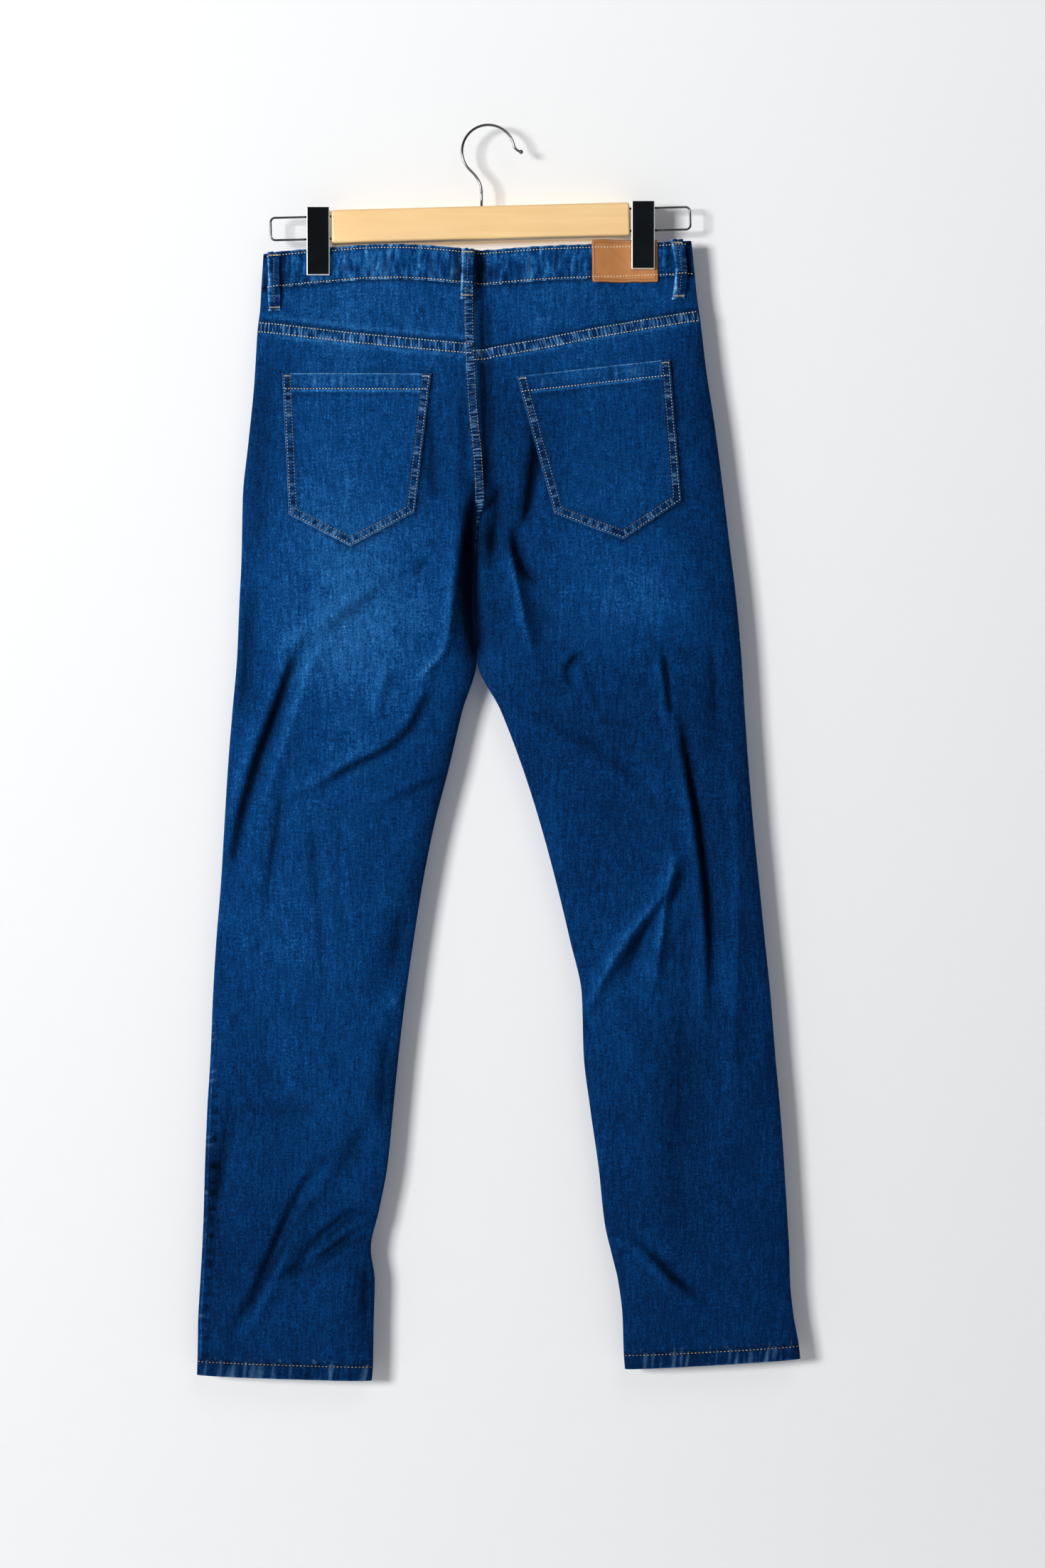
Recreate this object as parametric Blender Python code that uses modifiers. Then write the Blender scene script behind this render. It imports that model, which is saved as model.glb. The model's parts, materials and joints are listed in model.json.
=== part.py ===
"""Slim fit jeans hung by the waistband from a wooden clip hanger, with the back of the jeans towards -Y.

Frame: metres, +Z up, +X to the right of someone who looks at the seat along +Y. The origin is the
underside of the hook's bow, where a rail bears. Sizes in this file are millimetres until MM turns them.

The garment is a flattened tube. Each side (left, right) has a table of sections, which run from the side
seam to the centre seam or the inseam, and each section carries the depth of the back and of the front.
Every panel is a grid that follows those sections, given its wall by Solidify.
"""

import math
from collections import namedtuple

import bmesh
import bpy
import numpy as np
from mathutils import Matrix, Vector
from mathutils.bvhtree import BVHTree

MM = 0.001

# Cloth
CLOTH = 1.2  # wall of a denim panel
BAND = 2.4  # wall of the waistband, two layers and interfacing
BAND_PROUD = 0.8  # the waistband's face stands this far out of the panels' face
HEM = 2.6  # wall of the turned-up hem, three layers
LEATHER = 1.3
GAP = 0.3  # between pieces that are sewn to each other
EDGE = 1.3  # straight stretch of wall beside each seam, where front and back meet
ROUNDNESS = 2.5  # exponent of the flattened sections: 2 is an ellipse, more is boxier

# Resolution of the panels
COLUMNS = 12
LEG_ROWS = 31
YOKE_ROWS = 3
BAND_ROWS = 2

# A section runs from the side seam (outer) to the centre seam or inseam (inner).
# arch: rise of the section's middle; back, front: half depths; fork: 0 where the inner edge is the centre
# seam, 1 where it is the inseam; drape: 0 where the waist's own waves set the depth, 1 below them;
# drop: how much lower the front runs than the back at the inner edge.
Section = namedtuple("Section", "name outer_x outer_z inner_x inner_z arch back front fork drape drop")

LEFT_SECTIONS = (
    Section("waist_top", -196, -112, -16, -110, 6, 6, 6, 0.0, 0.0, 8),
    Section("waist_seam", -198, -144, -16, -141, 7, 8, 8, 0.0, 0.0, 8),
    Section("yoke_middle", -199, -161, -16, -171, 3, 11, 10, 0.0, 0.5, 6),
    Section("yoke_seam", -201, -177, -15, -200, 3, 14, 12, 0.0, 0.8, 4),
    Section("hip", -204, -225, -13, -239, 0, 17, 15, 0.0, 1.0, 2),
    Section("seat", -209, -275, -10, -283, 0, 18, 16, 0.0, 1.0, 0),
    Section("low_seat", -214, -324, -6.5, -326, 0, 18, 16, 0.0, 1.0, 0),
    Section("fork_top", -215, -374, -10, -373, 0, 18, 16, 0.3, 1.0, 0),
    Section("fork_middle", -217, -417, -11, -418, 0, 17, 16, 0.65, 1.0, 0),
    Section("crotch", -219, -464, -10, -465, 0, 17, 15, 1.0, 1.0, 0),
    Section("upper_thigh", -223, -510, -22.6, -510, 0, 16, 15, 1.0, 1.0, 0),
    Section("thigh", -227, -560, -34.4, -560, 0, 15, 14, 1.0, 1.0, 0),
    Section("lower_thigh", -230, -609, -47, -609, 0, 14, 13, 1.0, 1.0, 0),
    Section("above_knee", -233, -659, -57, -659, 0, 13, 12, 1.0, 1.0, 0),
    Section("knee_top", -237, -709, -65, -709, 0, 12, 11, 1.0, 1.0, 0),
    Section("knee", -240, -758, -72, -758, 0, 11.5, 11, 1.0, 1.0, 0),
    Section("below_knee", -242, -808, -78, -808, 0, 11, 10, 1.0, 1.0, 0),
    Section("upper_calf", -245, -858, -83, -858, 0, 10.5, 10, 1.0, 1.0, 0),
    Section("calf", -247, -907, -88, -907, 0, 10, 9.5, 1.0, 1.0, 0),
    Section("lower_calf", -248, -944, -95, -944, 0, 10, 9, 1.0, 1.0, 0),
    Section("notch", -249.5, -980, -102.5, -979, 0, 9.5, 9, 1.0, 1.0, 0),
    Section("shin", -251, -1006, -99, -1006, 0, 9, 8.5, 1.0, 1.0, 0),
    Section("ankle", -253, -1043, -100, -1044, 0, 8.5, 8, 1.0, 1.0, 0),
    Section("hem_seam", -253.5, -1074, -100.5, -1079, 0, 8, 8, 1.0, 1.0, 0),
    Section("hem_edge", -254, -1088, -101.5, -1093, 0, 8, 8, 1.0, 1.0, 0),
)

RIGHT_SECTIONS = (
    Section("waist_top", 177, -100.5, -16, -110, 0.5, 6, 6, 0.0, 0.0, 8),
    Section("waist_seam", 180, -130.5, -16, -141, 1, 8, 8, 0.0, 0.0, 8),
    Section("yoke_middle", 182, -150, -16, -171, 1, 11, 10, 0.0, 0.5, 6),
    Section("yoke_seam", 184.5, -167, -15, -200, 0, 14, 12, 0.0, 0.8, 4),
    Section("hip", 190, -213, -13, -239, 0, 17, 15, 0.0, 1.0, 2),
    Section("seat", 197.5, -262, -10, -283, 0, 18, 16, 0.0, 1.0, 0),
    Section("low_seat", 204, -312, -6.5, -326, 0, 18, 16, 0.0, 1.0, 0),
    Section("fork_top", 210, -362, -10, -373, 0, 18, 16, 0.3, 1.0, 0),
    Section("fork_middle", 216, -411, -11, -418, 0, 17, 16, 0.65, 1.0, 0),
    Section("crotch", 220.5, -461, -10, -465, 0, 17, 15, 1.0, 1.0, 0),
    Section("upper_thigh", 223.5, -510, 11, -510, 0, 16, 15, 1.0, 1.0, 0),
    Section("thigh", 227, -560, 30, -560, 0, 15, 14, 1.0, 1.0, 0),
    Section("lower_thigh", 231, -609, 45.5, -609, 0, 14, 13, 1.0, 1.0, 0),
    Section("above_knee", 236, -659, 59, -659, 0, 13, 12, 1.0, 1.0, 0),
    Section("knee_top", 241, -709, 71, -709, 0, 12, 11, 1.0, 1.0, 0),
    Section("knee", 246, -758, 81.5, -758, 0, 11.5, 11, 1.0, 1.0, 0),
    Section("below_knee", 250, -808, 83, -808, 0, 11, 10, 1.0, 1.0, 0),
    Section("upper_calf", 254.5, -858, 89, -858, 0, 10.5, 10, 1.0, 1.0, 0),
    Section("calf", 258, -907, 96, -907, 0, 10, 9.5, 1.0, 1.0, 0),
    Section("lower_calf", 261, -957, 101.5, -957, 0, 10, 9, 1.0, 1.0, 0),
    Section("notch", 262.5, -984, 108, -985, 0, 9.5, 9, 1.0, 1.0, 0),
    Section("shin", 263, -1006, 113, -1006, 0, 9, 8.5, 1.0, 1.0, 0),
    Section("ankle", 266, -1036, 117, -1038, 0, 8.5, 8, 1.0, 1.0, 0),
    Section("hem_seam", 270.5, -1061, 118, -1069, 0, 8, 8, 1.0, 1.0, 0),
    Section("hem_edge", 272, -1074, 119, -1083, 0, 8, 8, 1.0, 1.0, 0),
)

# Depth of the gathered waist by place along X: pinched under both clips, bellied out between them.
Wave = namedtuple("Wave", "x back front")
WAIST_WAVES = (
    Wave(-196, 4, 4),
    Wave(-178, 4, 4),
    Wave(-160, 0.6, 0.6),
    Wave(-136, 0.6, 0.6),
    Wave(-115, 6, 5),
    Wave(-80, 12, 9),
    Wave(-45, 14, 11),
    Wave(-18, 13.5, 10),
    Wave(-5, 4.5, 9),
    Wave(14, 6.5, 10),
    Wave(50, 10, 11),
    Wave(90, 7, 7),
    Wave(122, 0.6, 0.6),
    Wave(147, 0.6, 0.6),
    Wave(164, 4, 4),
    Wave(180, 4, 4),
)

# The largest creases. Each follows a soft line through three points; height is out of the cloth (ridge) or
# into it (trough), left and right are the half widths on either side of the line as one walks down it.
Fold = namedtuple("Fold", "name face x0 z0 x1 z1 x2 z2 height left right")
FOLDS = (
    Fold("seat_cleft", "back", -4, -150, -1, -240, 4, -345, -5, 12, 7),
    Fold("fork_trough", "back", -14, -335, -22, -390, -30, -455, -6, 14, 14),
    Fold("pocket_trough", "back", 44, -275, 34, -340, 48, -410, -5, 12, 14),
    Fold("left_hip_sweep", "back", -95, -405, -165, -455, -214, -590, -6, 18, 18),
    Fold("left_thigh_sweep", "back", -50, -455, -78, -528, -150, -572, -5, 14, 20),
    Fold("left_inseam_nick", "back", -40, -572, -62, -576, -90, -588, -3, 10, 10),
    Fold("left_shin_sweep", "back", -120, -900, -180, -975, -206, -1030, -4.5, 12, 16),
    Fold("left_notch_trough", "back", -98, -948, -143, -966, -176, -1003, -4, 10, 14),
    Fold("right_long_trough", "back", 150, -455, 178, -570, 189, -790, -6, 22, 10),
    Fold("right_knee_ridge", "back", 168, -600, 140, -680, 84, -768, 5, 14, 14),
    Fold("right_thigh_hook", "back", 70, -455, 78, -490, 92, -515, -3, 12, 12),
    Fold("right_notch_trough", "back", 112, -990, 148, -996, 196, -1035, -4, 12, 14),
    Fold("front_left_sweep", "front", -50, -470, -120, -510, -190, -590, -5, 16, 18),
    Fold("front_left_knee", "front", -80, -740, -150, -765, -215, -760, -4, 14, 16),
    Fold("front_left_shin", "front", -110, -965, -160, -985, -205, -1030, -4, 12, 14),
    Fold("front_right_sweep", "front", 30, -470, 100, -520, 170, -600, -5, 16, 18),
    Fold("front_right_knee", "front", 95, -760, 160, -775, 225, -750, -4, 14, 16),
    Fold("front_right_shin", "front", 120, -990, 170, -1000, 225, -1040, -4, 12, 14),
)

# Outlines of what lies on the back, as seen from behind
LEFT_POCKET = ((-179, -217), (-49, -218), (-63, -338), (-119, -368), (-173, -340))
RIGHT_POCKET = ((24.5, -220.5), (158, -205), (168, -328), (117.5, -362), (57.5, -340))
PATCH_CENTRE, PATCH_SIZE, PATCH_TILT = (119, -118.5), (58, 37), math.radians(0.8)

# Belt loops: the places of the top end and the lower end
BeltLoop = namedtuple("BeltLoop", "name face top_x top_z low_x low_z")
BELT_LOOPS = (
    BeltLoop("belt_loop_back", "back", -17.5, -109.5, -18.5, -153),
    BeltLoop("belt_loop_side_left", "back", -187, -110.5, -186, -162),
    BeltLoop("belt_loop_side_right", "back", 165, -98.5, 168, -152),
    BeltLoop("belt_loop_front_left", "front", -112, -110.5, -112, -163),
    BeltLoop("belt_loop_front_right", "front", 92, -106, 92, -160),
)
LOOP_WIDTH, LOOP_WALL, LOOP_BELLY, LOOP_ROWS = 10.5, 1.2, 2.4, 14

# Front: scooped hip pockets, fly and button
SCOOP_WIDTH, SCOOP_DROP, FACING_MARGIN = 68, 72, 12
FLY_WIDTH, FLY_TOP, FLY_LENGTH = 34, -150, 140
BUTTON_RADIUS, BUTTON_THICKNESS, BUTTON_FROM_EDGE = 8.5, 3.0, 12

# Hanger
HANGER_TILT = math.radians(1.5)
BAR_CENTRE, BAR_SIZE, BAR_EDGE = (-6.8, -85), (260, 13, 29), 2.5
HOOK_WIRE = 1.4  # radius
HOOK_BOW = 23.2  # radius of the bow's centreline
HOOK_TIP_ANGLE, HOOK_NECK_ANGLE = math.radians(10), math.radians(226)
STEM_X = -5.9
RAIL_WIRE, RAIL_HALF_HEIGHT, RAIL_REACH, RAIL_CORNER = 1.1, 9.75, 183, 4
SOCKET_DEPTH, SOCKET_CLEAR = 18, 0.3
CLIP_WIDTH, CLIP_HEIGHT, CLIP_PLATE = 20, 59, 1.6
LEFT_CLIP, RIGHT_CLIP = (-147.9, -101.5), (134.8, -96.3)
CLIP_TOP_DEPTH, SADDLE_SIZE = 8.6, (13, 25)

SIDES = {"left": LEFT_SECTIONS, "right": RIGHT_SECTIONS}
OUTWARD = {"back": -1, "front": 1}


def interpolate(knots, values, at):
    """A smooth curve through rows of values that doesn't overshoot them (monotone cubic)."""
    knots, values, at = np.asarray(knots, float), np.asarray(values, float), np.asarray(at, float)
    step = np.diff(knots)
    slope = np.diff(values, axis=0) / step[:, None]
    before, after = slope[:-1], slope[1:]
    same_way = before * after > 0
    mean = 2 * before * after / np.where(same_way, before + after, 1)
    tangent = np.vstack([slope[:1], np.where(same_way, mean, 0), slope[-1:]])
    k = np.clip(np.searchsorted(knots, at, side="right") - 1, 0, len(step) - 1)
    t = ((np.clip(at, knots[0], knots[-1]) - knots[k]) / step[k])[..., None]
    h = step[k][..., None]
    return (
        (2 * t**3 - 3 * t**2 + 1) * values[k]
        + (t**3 - 2 * t**2 + t) * h * tangent[k]
        + (3 * t**2 - 2 * t**3) * values[k + 1]
        + (t**3 - t**2) * h * tangent[k + 1]
    )


def drops(side):
    """How far down the garment each section lies, which is the parameter along a side."""
    rows = SIDES[side]
    return np.array([-(row.outer_z + row.inner_z) / 2 for row in rows])


def drop_of(side, name):
    """The parameter of the named section."""
    names = [row.name for row in SIDES[side]]
    return drops(side)[names.index(name)]


def section_at(side, drop):
    """The section's columns at any drop, as a Section of arrays."""
    columns = interpolate(drops(side), [row[1:] for row in SIDES[side]], drop)
    return Section("between", *np.moveaxis(columns, -1, 0))


def fold_height(face, x, z):
    """Sum of all creases of one face at places (x, z)."""
    total = np.zeros(np.broadcast(x, z).shape)
    steps = np.linspace(0, 1, 25)
    for fold in FOLDS:
        if fold.face != face:
            continue
        line_x = interpolate((0, 0.5, 1), [[fold.x0], [fold.x1], [fold.x2]], steps)[:, 0]
        line_z = interpolate((0, 0.5, 1), [[fold.z0], [fold.z1], [fold.z2]], steps)[:, 0]
        away_x, away_z = x[..., None] - line_x, z[..., None] - line_z
        nearest = np.argmin(away_x**2 + away_z**2, axis=-1)
        pick = np.expand_dims(nearest, -1)
        away_x = np.take_along_axis(away_x, pick, -1)[..., 0]
        away_z = np.take_along_axis(away_z, pick, -1)[..., 0]
        along_x, along_z = np.gradient(line_x)[nearest], np.gradient(line_z)[nearest]
        length = np.hypot(along_x, along_z)
        across = (along_x * away_z - along_z * away_x) / length
        width = np.where(across > 0, fold.left, fold.right)
        beyond = np.hypot(away_x, away_z) / width
        taper = np.sin(np.pi * np.clip(steps[nearest], 0.04, 0.96)) ** 0.6
        total += fold.height * taper * np.exp(-(beyond**2))
    return total


def wave_depth(face, x):
    """Half depth of the gathered waist at places along X."""
    waves = interpolate([w.x for w in WAIST_WAVES], [w[1:] for w in WAIST_WAVES], x)
    return waves[..., 0 if face == "back" else 1]


def across_section(side, face, section, angle, last_angle):
    """x, outward y and z of points on sections, by angle from the side seam."""
    share = (1 - np.cos(angle)) / (1 - np.cos(last_angle))
    profile = (1 - np.abs(np.cos(angle)) ** ROUNDNESS) ** (1 / ROUNDNESS)
    towards_outer = -1 if side == "left" else 1
    inner_x = section.inner_x + towards_outer * (GAP / 2 + EDGE * (1 - section.fork))
    x = section.outer_x + (inner_x - section.outer_x) * share
    z = section.outer_z + (section.inner_z - section.outer_z) * share
    z = z + section.arch * 4 * share * (1 - share)
    if face == "front":
        z = z - section.drop * share
    still = section.back if face == "back" else section.front
    depth = wave_depth(face, x) * (1 - section.drape) + still * section.drape
    y = EDGE + depth * profile + fold_height(face, x, z) * profile
    return x, y, z


def panel_points(side, face, drop_rows, proud=0.0):
    """Grid of points, rows by columns by xyz, on the outer face of the cloth between two seams."""
    section = section_at(side, np.asarray(drop_rows, float)[:, None])
    last_angle = math.pi / 2 * (1 + section.fork)
    angle = np.linspace(0, 1, COLUMNS + 1)[None, :] * last_angle
    x, y, z = across_section(side, face, section, angle, last_angle)
    y = y + proud
    towards_outer = -1 if side == "left" else 1
    first = [section.outer_x, np.zeros_like(section.outer_x), z[:, :1]]
    last = [
        section.inner_x + towards_outer * GAP / 2,
        y[:, -1:] - (EDGE + proud) * section.fork,
        z[:, -1:],
    ]
    x, y, z = (np.hstack([a, b, c]) for a, b, c in zip(first, (x, y, z), last))
    return np.stack([x, OUTWARD[face] * (y + GAP / 2), z], axis=-1)


def surface_y(side, face, x, z):
    """Outward distance of the cloth's face from the middle plane at places (x, z)."""
    x, z = np.asarray(x, float), np.asarray(z, float)
    drop = -z
    for _ in range(8):
        section = section_at(side, drop)
        share = np.clip((x - section.outer_x) / (section.inner_x - section.outer_x), 0, 1)
        row_z = section.outer_z + (section.inner_z - section.outer_z) * share
        row_z = row_z + section.arch * 4 * share * (1 - share)
        if face == "front":
            row_z = row_z - section.drop * share
        drop = drop + row_z - z
    last_angle = math.pi / 2 * (1 + section.fork)
    angle = np.arccos(1 - share * (1 - np.cos(last_angle)))
    return across_section(side, face, section, angle, last_angle)[1] + GAP / 2


def collection(name):
    made = bpy.data.collections.new(name)
    bpy.context.scene.collection.children.link(made)
    return made


def material(name, colour, roughness, metallic=0.0):
    made = bpy.data.materials.new(name)
    made.use_nodes = True
    shader = made.node_tree.nodes["Principled BSDF"]
    shader.inputs["Base Color"].default_value = (*colour, 1)
    shader.inputs["Roughness"].default_value = roughness
    shader.inputs["Metallic"].default_value = metallic
    return made


def add_object(name, data, finish, group):
    made = bpy.data.objects.new(name, data)
    group.objects.link(made)
    if finish is not None:
        data.materials.append(finish)
    return made


def grid_object(name, points, face, finish, group, closed=False):
    """A grid primitive whose vertices are moved to the points, facing outwards."""
    rows, columns = points.shape[:2]
    work = bmesh.new()
    bmesh.ops.create_grid(work, x_segments=columns - 1, y_segments=rows - 1, size=0.5)
    for vertex in work.verts:
        column = round((vertex.co.x + 0.5) * (columns - 1))
        row = round((vertex.co.y + 0.5) * (rows - 1))
        vertex.co = Vector(points[row, column]) * MM
    bmesh.ops.triangulate(work, faces=work.faces, quad_method="FIXED")
    if closed:
        bmesh.ops.remove_doubles(work, verts=work.verts, dist=0.01 * MM)
        bmesh.ops.recalc_face_normals(work, faces=work.faces)
    else:
        work.normal_update()
        if sum(f.normal.y * f.calc_area() for f in work.faces) * OUTWARD[face] < 0:
            bmesh.ops.reverse_faces(work, faces=work.faces)
    mesh = bpy.data.meshes.new(name)
    work.to_mesh(mesh)
    work.free()
    mesh.shade_smooth()
    return add_object(name, mesh, finish, group)


def add_wall(obj, thickness, inward=True):
    """Gives a sheet its thickness, on the inside of its face or the outside."""
    wall = obj.modifiers.new("wall", "SOLIDIFY")
    wall.thickness = thickness * MM
    wall.offset = -1 if inward else 1


def shift_along_normals(obj, distance):
    shift = obj.modifiers.new("lift", "DISPLACE")
    shift.strength = distance * MM
    shift.mid_level = 0


def cut(obj, cutter, operation):
    step = obj.modifiers.new(operation.lower(), "BOOLEAN")
    step.operation = operation
    step.object = cutter
    step.solver = "EXACT"


def prism(name, outline, y_from, y_to, group):
    """A cutter: an outline in the XZ plane, run along Y."""
    work = bmesh.new()
    corners = [work.verts.new(Vector((x, y_from, z)) * MM) for x, z in outline]
    base = work.faces.new(corners)
    run = bmesh.ops.extrude_face_region(work, geom=[base])["geom"]
    moved = [g for g in run if isinstance(g, bmesh.types.BMVert)]
    bmesh.ops.translate(work, verts=moved, vec=(0, (y_to - y_from) * MM, 0))
    bmesh.ops.recalc_face_normals(work, faces=work.faces)
    mesh = bpy.data.meshes.new(name)
    work.to_mesh(mesh)
    work.free()
    made = add_object(name, mesh, None, group)
    made.hide_render = True
    made.display_type = "WIRE"
    return made


def ellipse(centre, radii, count=40):
    turns = [2 * math.pi * k / count for k in range(count)]
    return [(centre[0] + radii[0] * math.cos(a), centre[1] + radii[1] * math.sin(a)) for a in turns]


def spread(first, last, segments):
    return np.linspace(first, last, segments + 1)


def leg_rows(side, face):
    top = "yoke_seam" if face == "back" else "waist_seam"
    rows = LEG_ROWS if face == "back" else LEG_ROWS + 1
    return spread(drop_of(side, top) + GAP / 2, drop_of(side, "hem_seam") - GAP / 2, rows)


def build_panels(denim, parts):
    """The four leg panels and the two yokes."""
    for side in SIDES:
        for face in OUTWARD:
            points = panel_points(side, face, leg_rows(side, face))
            panel = grid_object(f"{face}_panel_{side}", points, face, denim, parts)
            add_wall(panel, CLOTH)
        top, low = drop_of(side, "waist_seam") + GAP / 2, drop_of(side, "yoke_seam") - GAP / 2
        points = panel_points(side, "back", spread(top, low, YOKE_ROWS))
        add_wall(grid_object(f"yoke_{side}", points, "back", denim, parts), CLOTH)


def build_hems(denim, parts):
    """Turned-up hems, each one closed ring at the foot of a leg."""
    for side in SIDES:
        rows = spread(drop_of(side, "hem_seam") + GAP / 2, drop_of(side, "hem_edge"), 1)
        back, front = (panel_points(side, face, rows)[:, 1:-1] for face in OUTWARD)
        ring = np.hstack([back, front[:, ::-1], back[:, :1]])
        add_wall(grid_object(f"hem_{side}", ring, "back", denim, parts, closed=True), HEM)


def band_points(face, above=0.0, below=0.0):
    """The waistband's face from side seam to side seam, above and below its own edges if asked."""
    halves = []
    for side in SIDES:
        rows = spread(drop_of(side, "waist_top") - above, drop_of(side, "waist_seam") - GAP / 2 + below, BAND_ROWS)
        half = panel_points(side, face, rows, BAND_PROUD)
        half[0, :, 2] += above
        halves.append(half)
    return halves


def band_reach(side, face, spots):
    """How far the faceted waistband reaches outwards at places along X."""
    rows = band_points(face)[list(SIDES).index(side)]
    reach = 0.0
    for row in rows:
        order = np.argsort(row[:, 0])
        reach = max(reach, *np.interp(spots, row[order, 0], OUTWARD[face] * row[order, 1]))
    return reach


def build_waistband(denim, parts):
    left, right = band_points("back")
    whole = np.hstack([left[:, :-1], right[:, ::-1][:, 1:]])
    add_wall(grid_object("waistband_back", whole, "back", denim, parts), BAND)
    for side, half in zip(SIDES, band_points("front")):
        add_wall(grid_object(f"waistband_front_{side}", half, "front", denim, parts), BAND)


def build_back_pockets(denim, parts, cutters):
    """Each pocket is the panel's own face, lifted off it and trimmed to the pocket's outline."""
    for side, outline in (("left", LEFT_POCKET), ("right", RIGHT_POCKET)):
        rows = leg_rows(side, "back")
        rows = rows[rows < -min(z for x, z in outline) + 60]
        base = grid_object(f"back_pocket_{side}", panel_points(side, "back", rows), "back", denim, parts)
        shift_along_normals(base, GAP)
        add_wall(base, CLOTH, inward=False)
        cut(base, prism(f"pocket_outline_{side}", outline, -60, 0, cutters), "INTERSECT")


def build_patch(leather, parts, cutters):
    base = grid_object("leather_patch", band_points("back", above=3, below=6)[1], "back", leather, parts)
    shift_along_normals(base, GAP)
    add_wall(base, LEATHER, inward=False)
    turn = Matrix.Rotation(PATCH_TILT, 2)
    half_x, half_z = PATCH_SIZE[0] / 2, PATCH_SIZE[1] / 2
    corners = ((-half_x, -half_z), (half_x, -half_z), (half_x, half_z), (-half_x, half_z))
    outline = [Vector(PATCH_CENTRE) + turn @ Vector(corner) for corner in corners]
    cut(base, prism("patch_outline", outline, -60, 0, cutters), "INTERSECT")


def outer_faces(names):
    """Search trees over finished pieces, for what is laid on top of them."""
    bpy.context.view_layer.update()
    seen = bpy.context.evaluated_depsgraph_get()
    return [BVHTree.FromObject(bpy.data.objects[name], seen) for name in names]


def outermost(trees, face, x, z):
    """How far out the pieces reach around (x, z), also over a seam's gap or just above the top edge."""
    inward = Vector((0, -OUTWARD[face], 0))
    reach = []
    for around in (((0, 0), (0, -0.7), (0, 0.7), (-0.5, 0), (0.5, 0)), ((0, -2.5), (0, -5))):
        starts = [Vector((x + dx, OUTWARD[face] * 100, z + dz)) * MM for dx, dz in around]
        hits = [tree.ray_cast(start, inward)[0] for tree in trees for start in starts]
        reach = reach or [OUTWARD[face] * hit.y / MM for hit in hits if hit is not None]
    return max(reach)


def build_belt_loops(denim, parts):
    """Strips sewn down at both ends, whose middles stand off the waistband for a belt."""
    backs = ["waistband_back", "yoke_left", "yoke_right", "back_panel_left", "back_panel_right"]
    fronts = ["waistband_front_left", "waistband_front_right", "front_panel_left", "front_panel_right"]
    trees = {"back": outer_faces(backs), "front": outer_faces(fronts)}
    for loop in BELT_LOOPS:
        rows = []
        for t in np.linspace(0, 1, LOOP_ROWS + 1):
            x = loop.top_x + (loop.low_x - loop.top_x) * t
            z = loop.top_z + (loop.low_z - loop.top_z) * t
            belly = LOOP_BELLY * min(1.0, 1.6 * math.sin(math.pi * t))
            across = x + np.linspace(-0.5, 0.5, 5) * LOOP_WIDTH
            under = [outermost(trees[loop.face], loop.face, place, z) for place in across]
            level = [y * (1 - belly / LOOP_BELLY) + max(under) * belly / LOOP_BELLY for y in under]
            rows.append([(px, OUTWARD[loop.face] * (y + GAP + belly), z) for px, y in zip(across, level)])
        strip = grid_object(loop.name, np.array(rows), loop.face, denim, parts)
        add_wall(strip, LOOP_WALL, inward=False)


def build_front_pockets(denim, parts, cutters):
    """The front panels are scooped out at the hips, and a facing closes each scoop from behind."""
    for side, sections in SIDES.items():
        corner = (sections[1].outer_x, sections[1].outer_z)
        scoop = prism(f"scoop_{side}", ellipse(corner, (SCOOP_WIDTH, SCOOP_DROP)), -10, 60, cutters)
        cut(bpy.data.objects[f"front_panel_{side}"], scoop, "DIFFERENCE")
        rows = leg_rows(side, "front")[:8]
        facing = grid_object(f"pocket_facing_{side}", panel_points(side, "front", rows), "front", denim, parts)
        shift_along_normals(facing, -(CLOTH + GAP))
        add_wall(facing, CLOTH)
        radii = (SCOOP_WIDTH + FACING_MARGIN, SCOOP_DROP + FACING_MARGIN)
        cut(facing, prism(f"facing_outline_{side}", ellipse(corner, radii), -10, 60, cutters), "INTERSECT")


def build_fly(denim, parts, cutters):
    """The fly's outer layer lies on the left front panel, with a rounded lower corner."""
    rows = leg_rows("left", "front")[:10]
    base = grid_object("fly", panel_points("left", "front", rows), "front", denim, parts)
    shift_along_normals(base, GAP)
    add_wall(base, CLOTH, inward=False)
    edge = 0
    left = -13 - FLY_WIDTH
    corner = FLY_TOP - FLY_LENGTH + FLY_WIDTH
    arc = [
        (left + FLY_WIDTH * (1 - math.cos(a)), corner - FLY_WIDTH * math.sin(a))
        for a in np.linspace(0, math.pi / 2, 7)
    ]
    outline = [(edge, FLY_TOP - 2), (left, FLY_TOP - 2), *arc, (edge, arc[-1][1])]
    cut(base, prism("fly_outline", outline, 0, 60, cutters), "INTERSECT")


def build_button(metal, parts):
    x = LEFT_SECTIONS[0].inner_x - BUTTON_FROM_EDGE
    z = (LEFT_SECTIONS[0].inner_z + LEFT_SECTIONS[1].inner_z) / 2 - LEFT_SECTIONS[0].drop
    seat = float(surface_y("left", "front", x, z)) + BAND_PROUD + GAP
    work = bmesh.new()
    bmesh.ops.create_cone(
        work,
        cap_ends=True,
        segments=24,
        radius1=BUTTON_RADIUS * MM,
        radius2=BUTTON_RADIUS * MM,
        depth=BUTTON_THICKNESS * MM,
        matrix=Matrix.Rotation(math.pi / 2, 4, "X"),
    )
    mesh = bpy.data.meshes.new("button")
    work.to_mesh(mesh)
    work.free()
    made = add_object("button", mesh, metal, parts)
    lean = BUTTON_RADIUS * 0.08
    made.location = Vector((x, seat + lean + BUTTON_THICKNESS / 2, z)) * MM
    round_edges(made, 0.8, 2)


def round_edges(obj, width, segments):
    bevel = obj.modifiers.new("rounding", "BEVEL")
    bevel.width = width * MM
    bevel.segments = segments
    bevel.limit_method = "ANGLE"
    bevel.angle_limit = math.radians(40)


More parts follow.
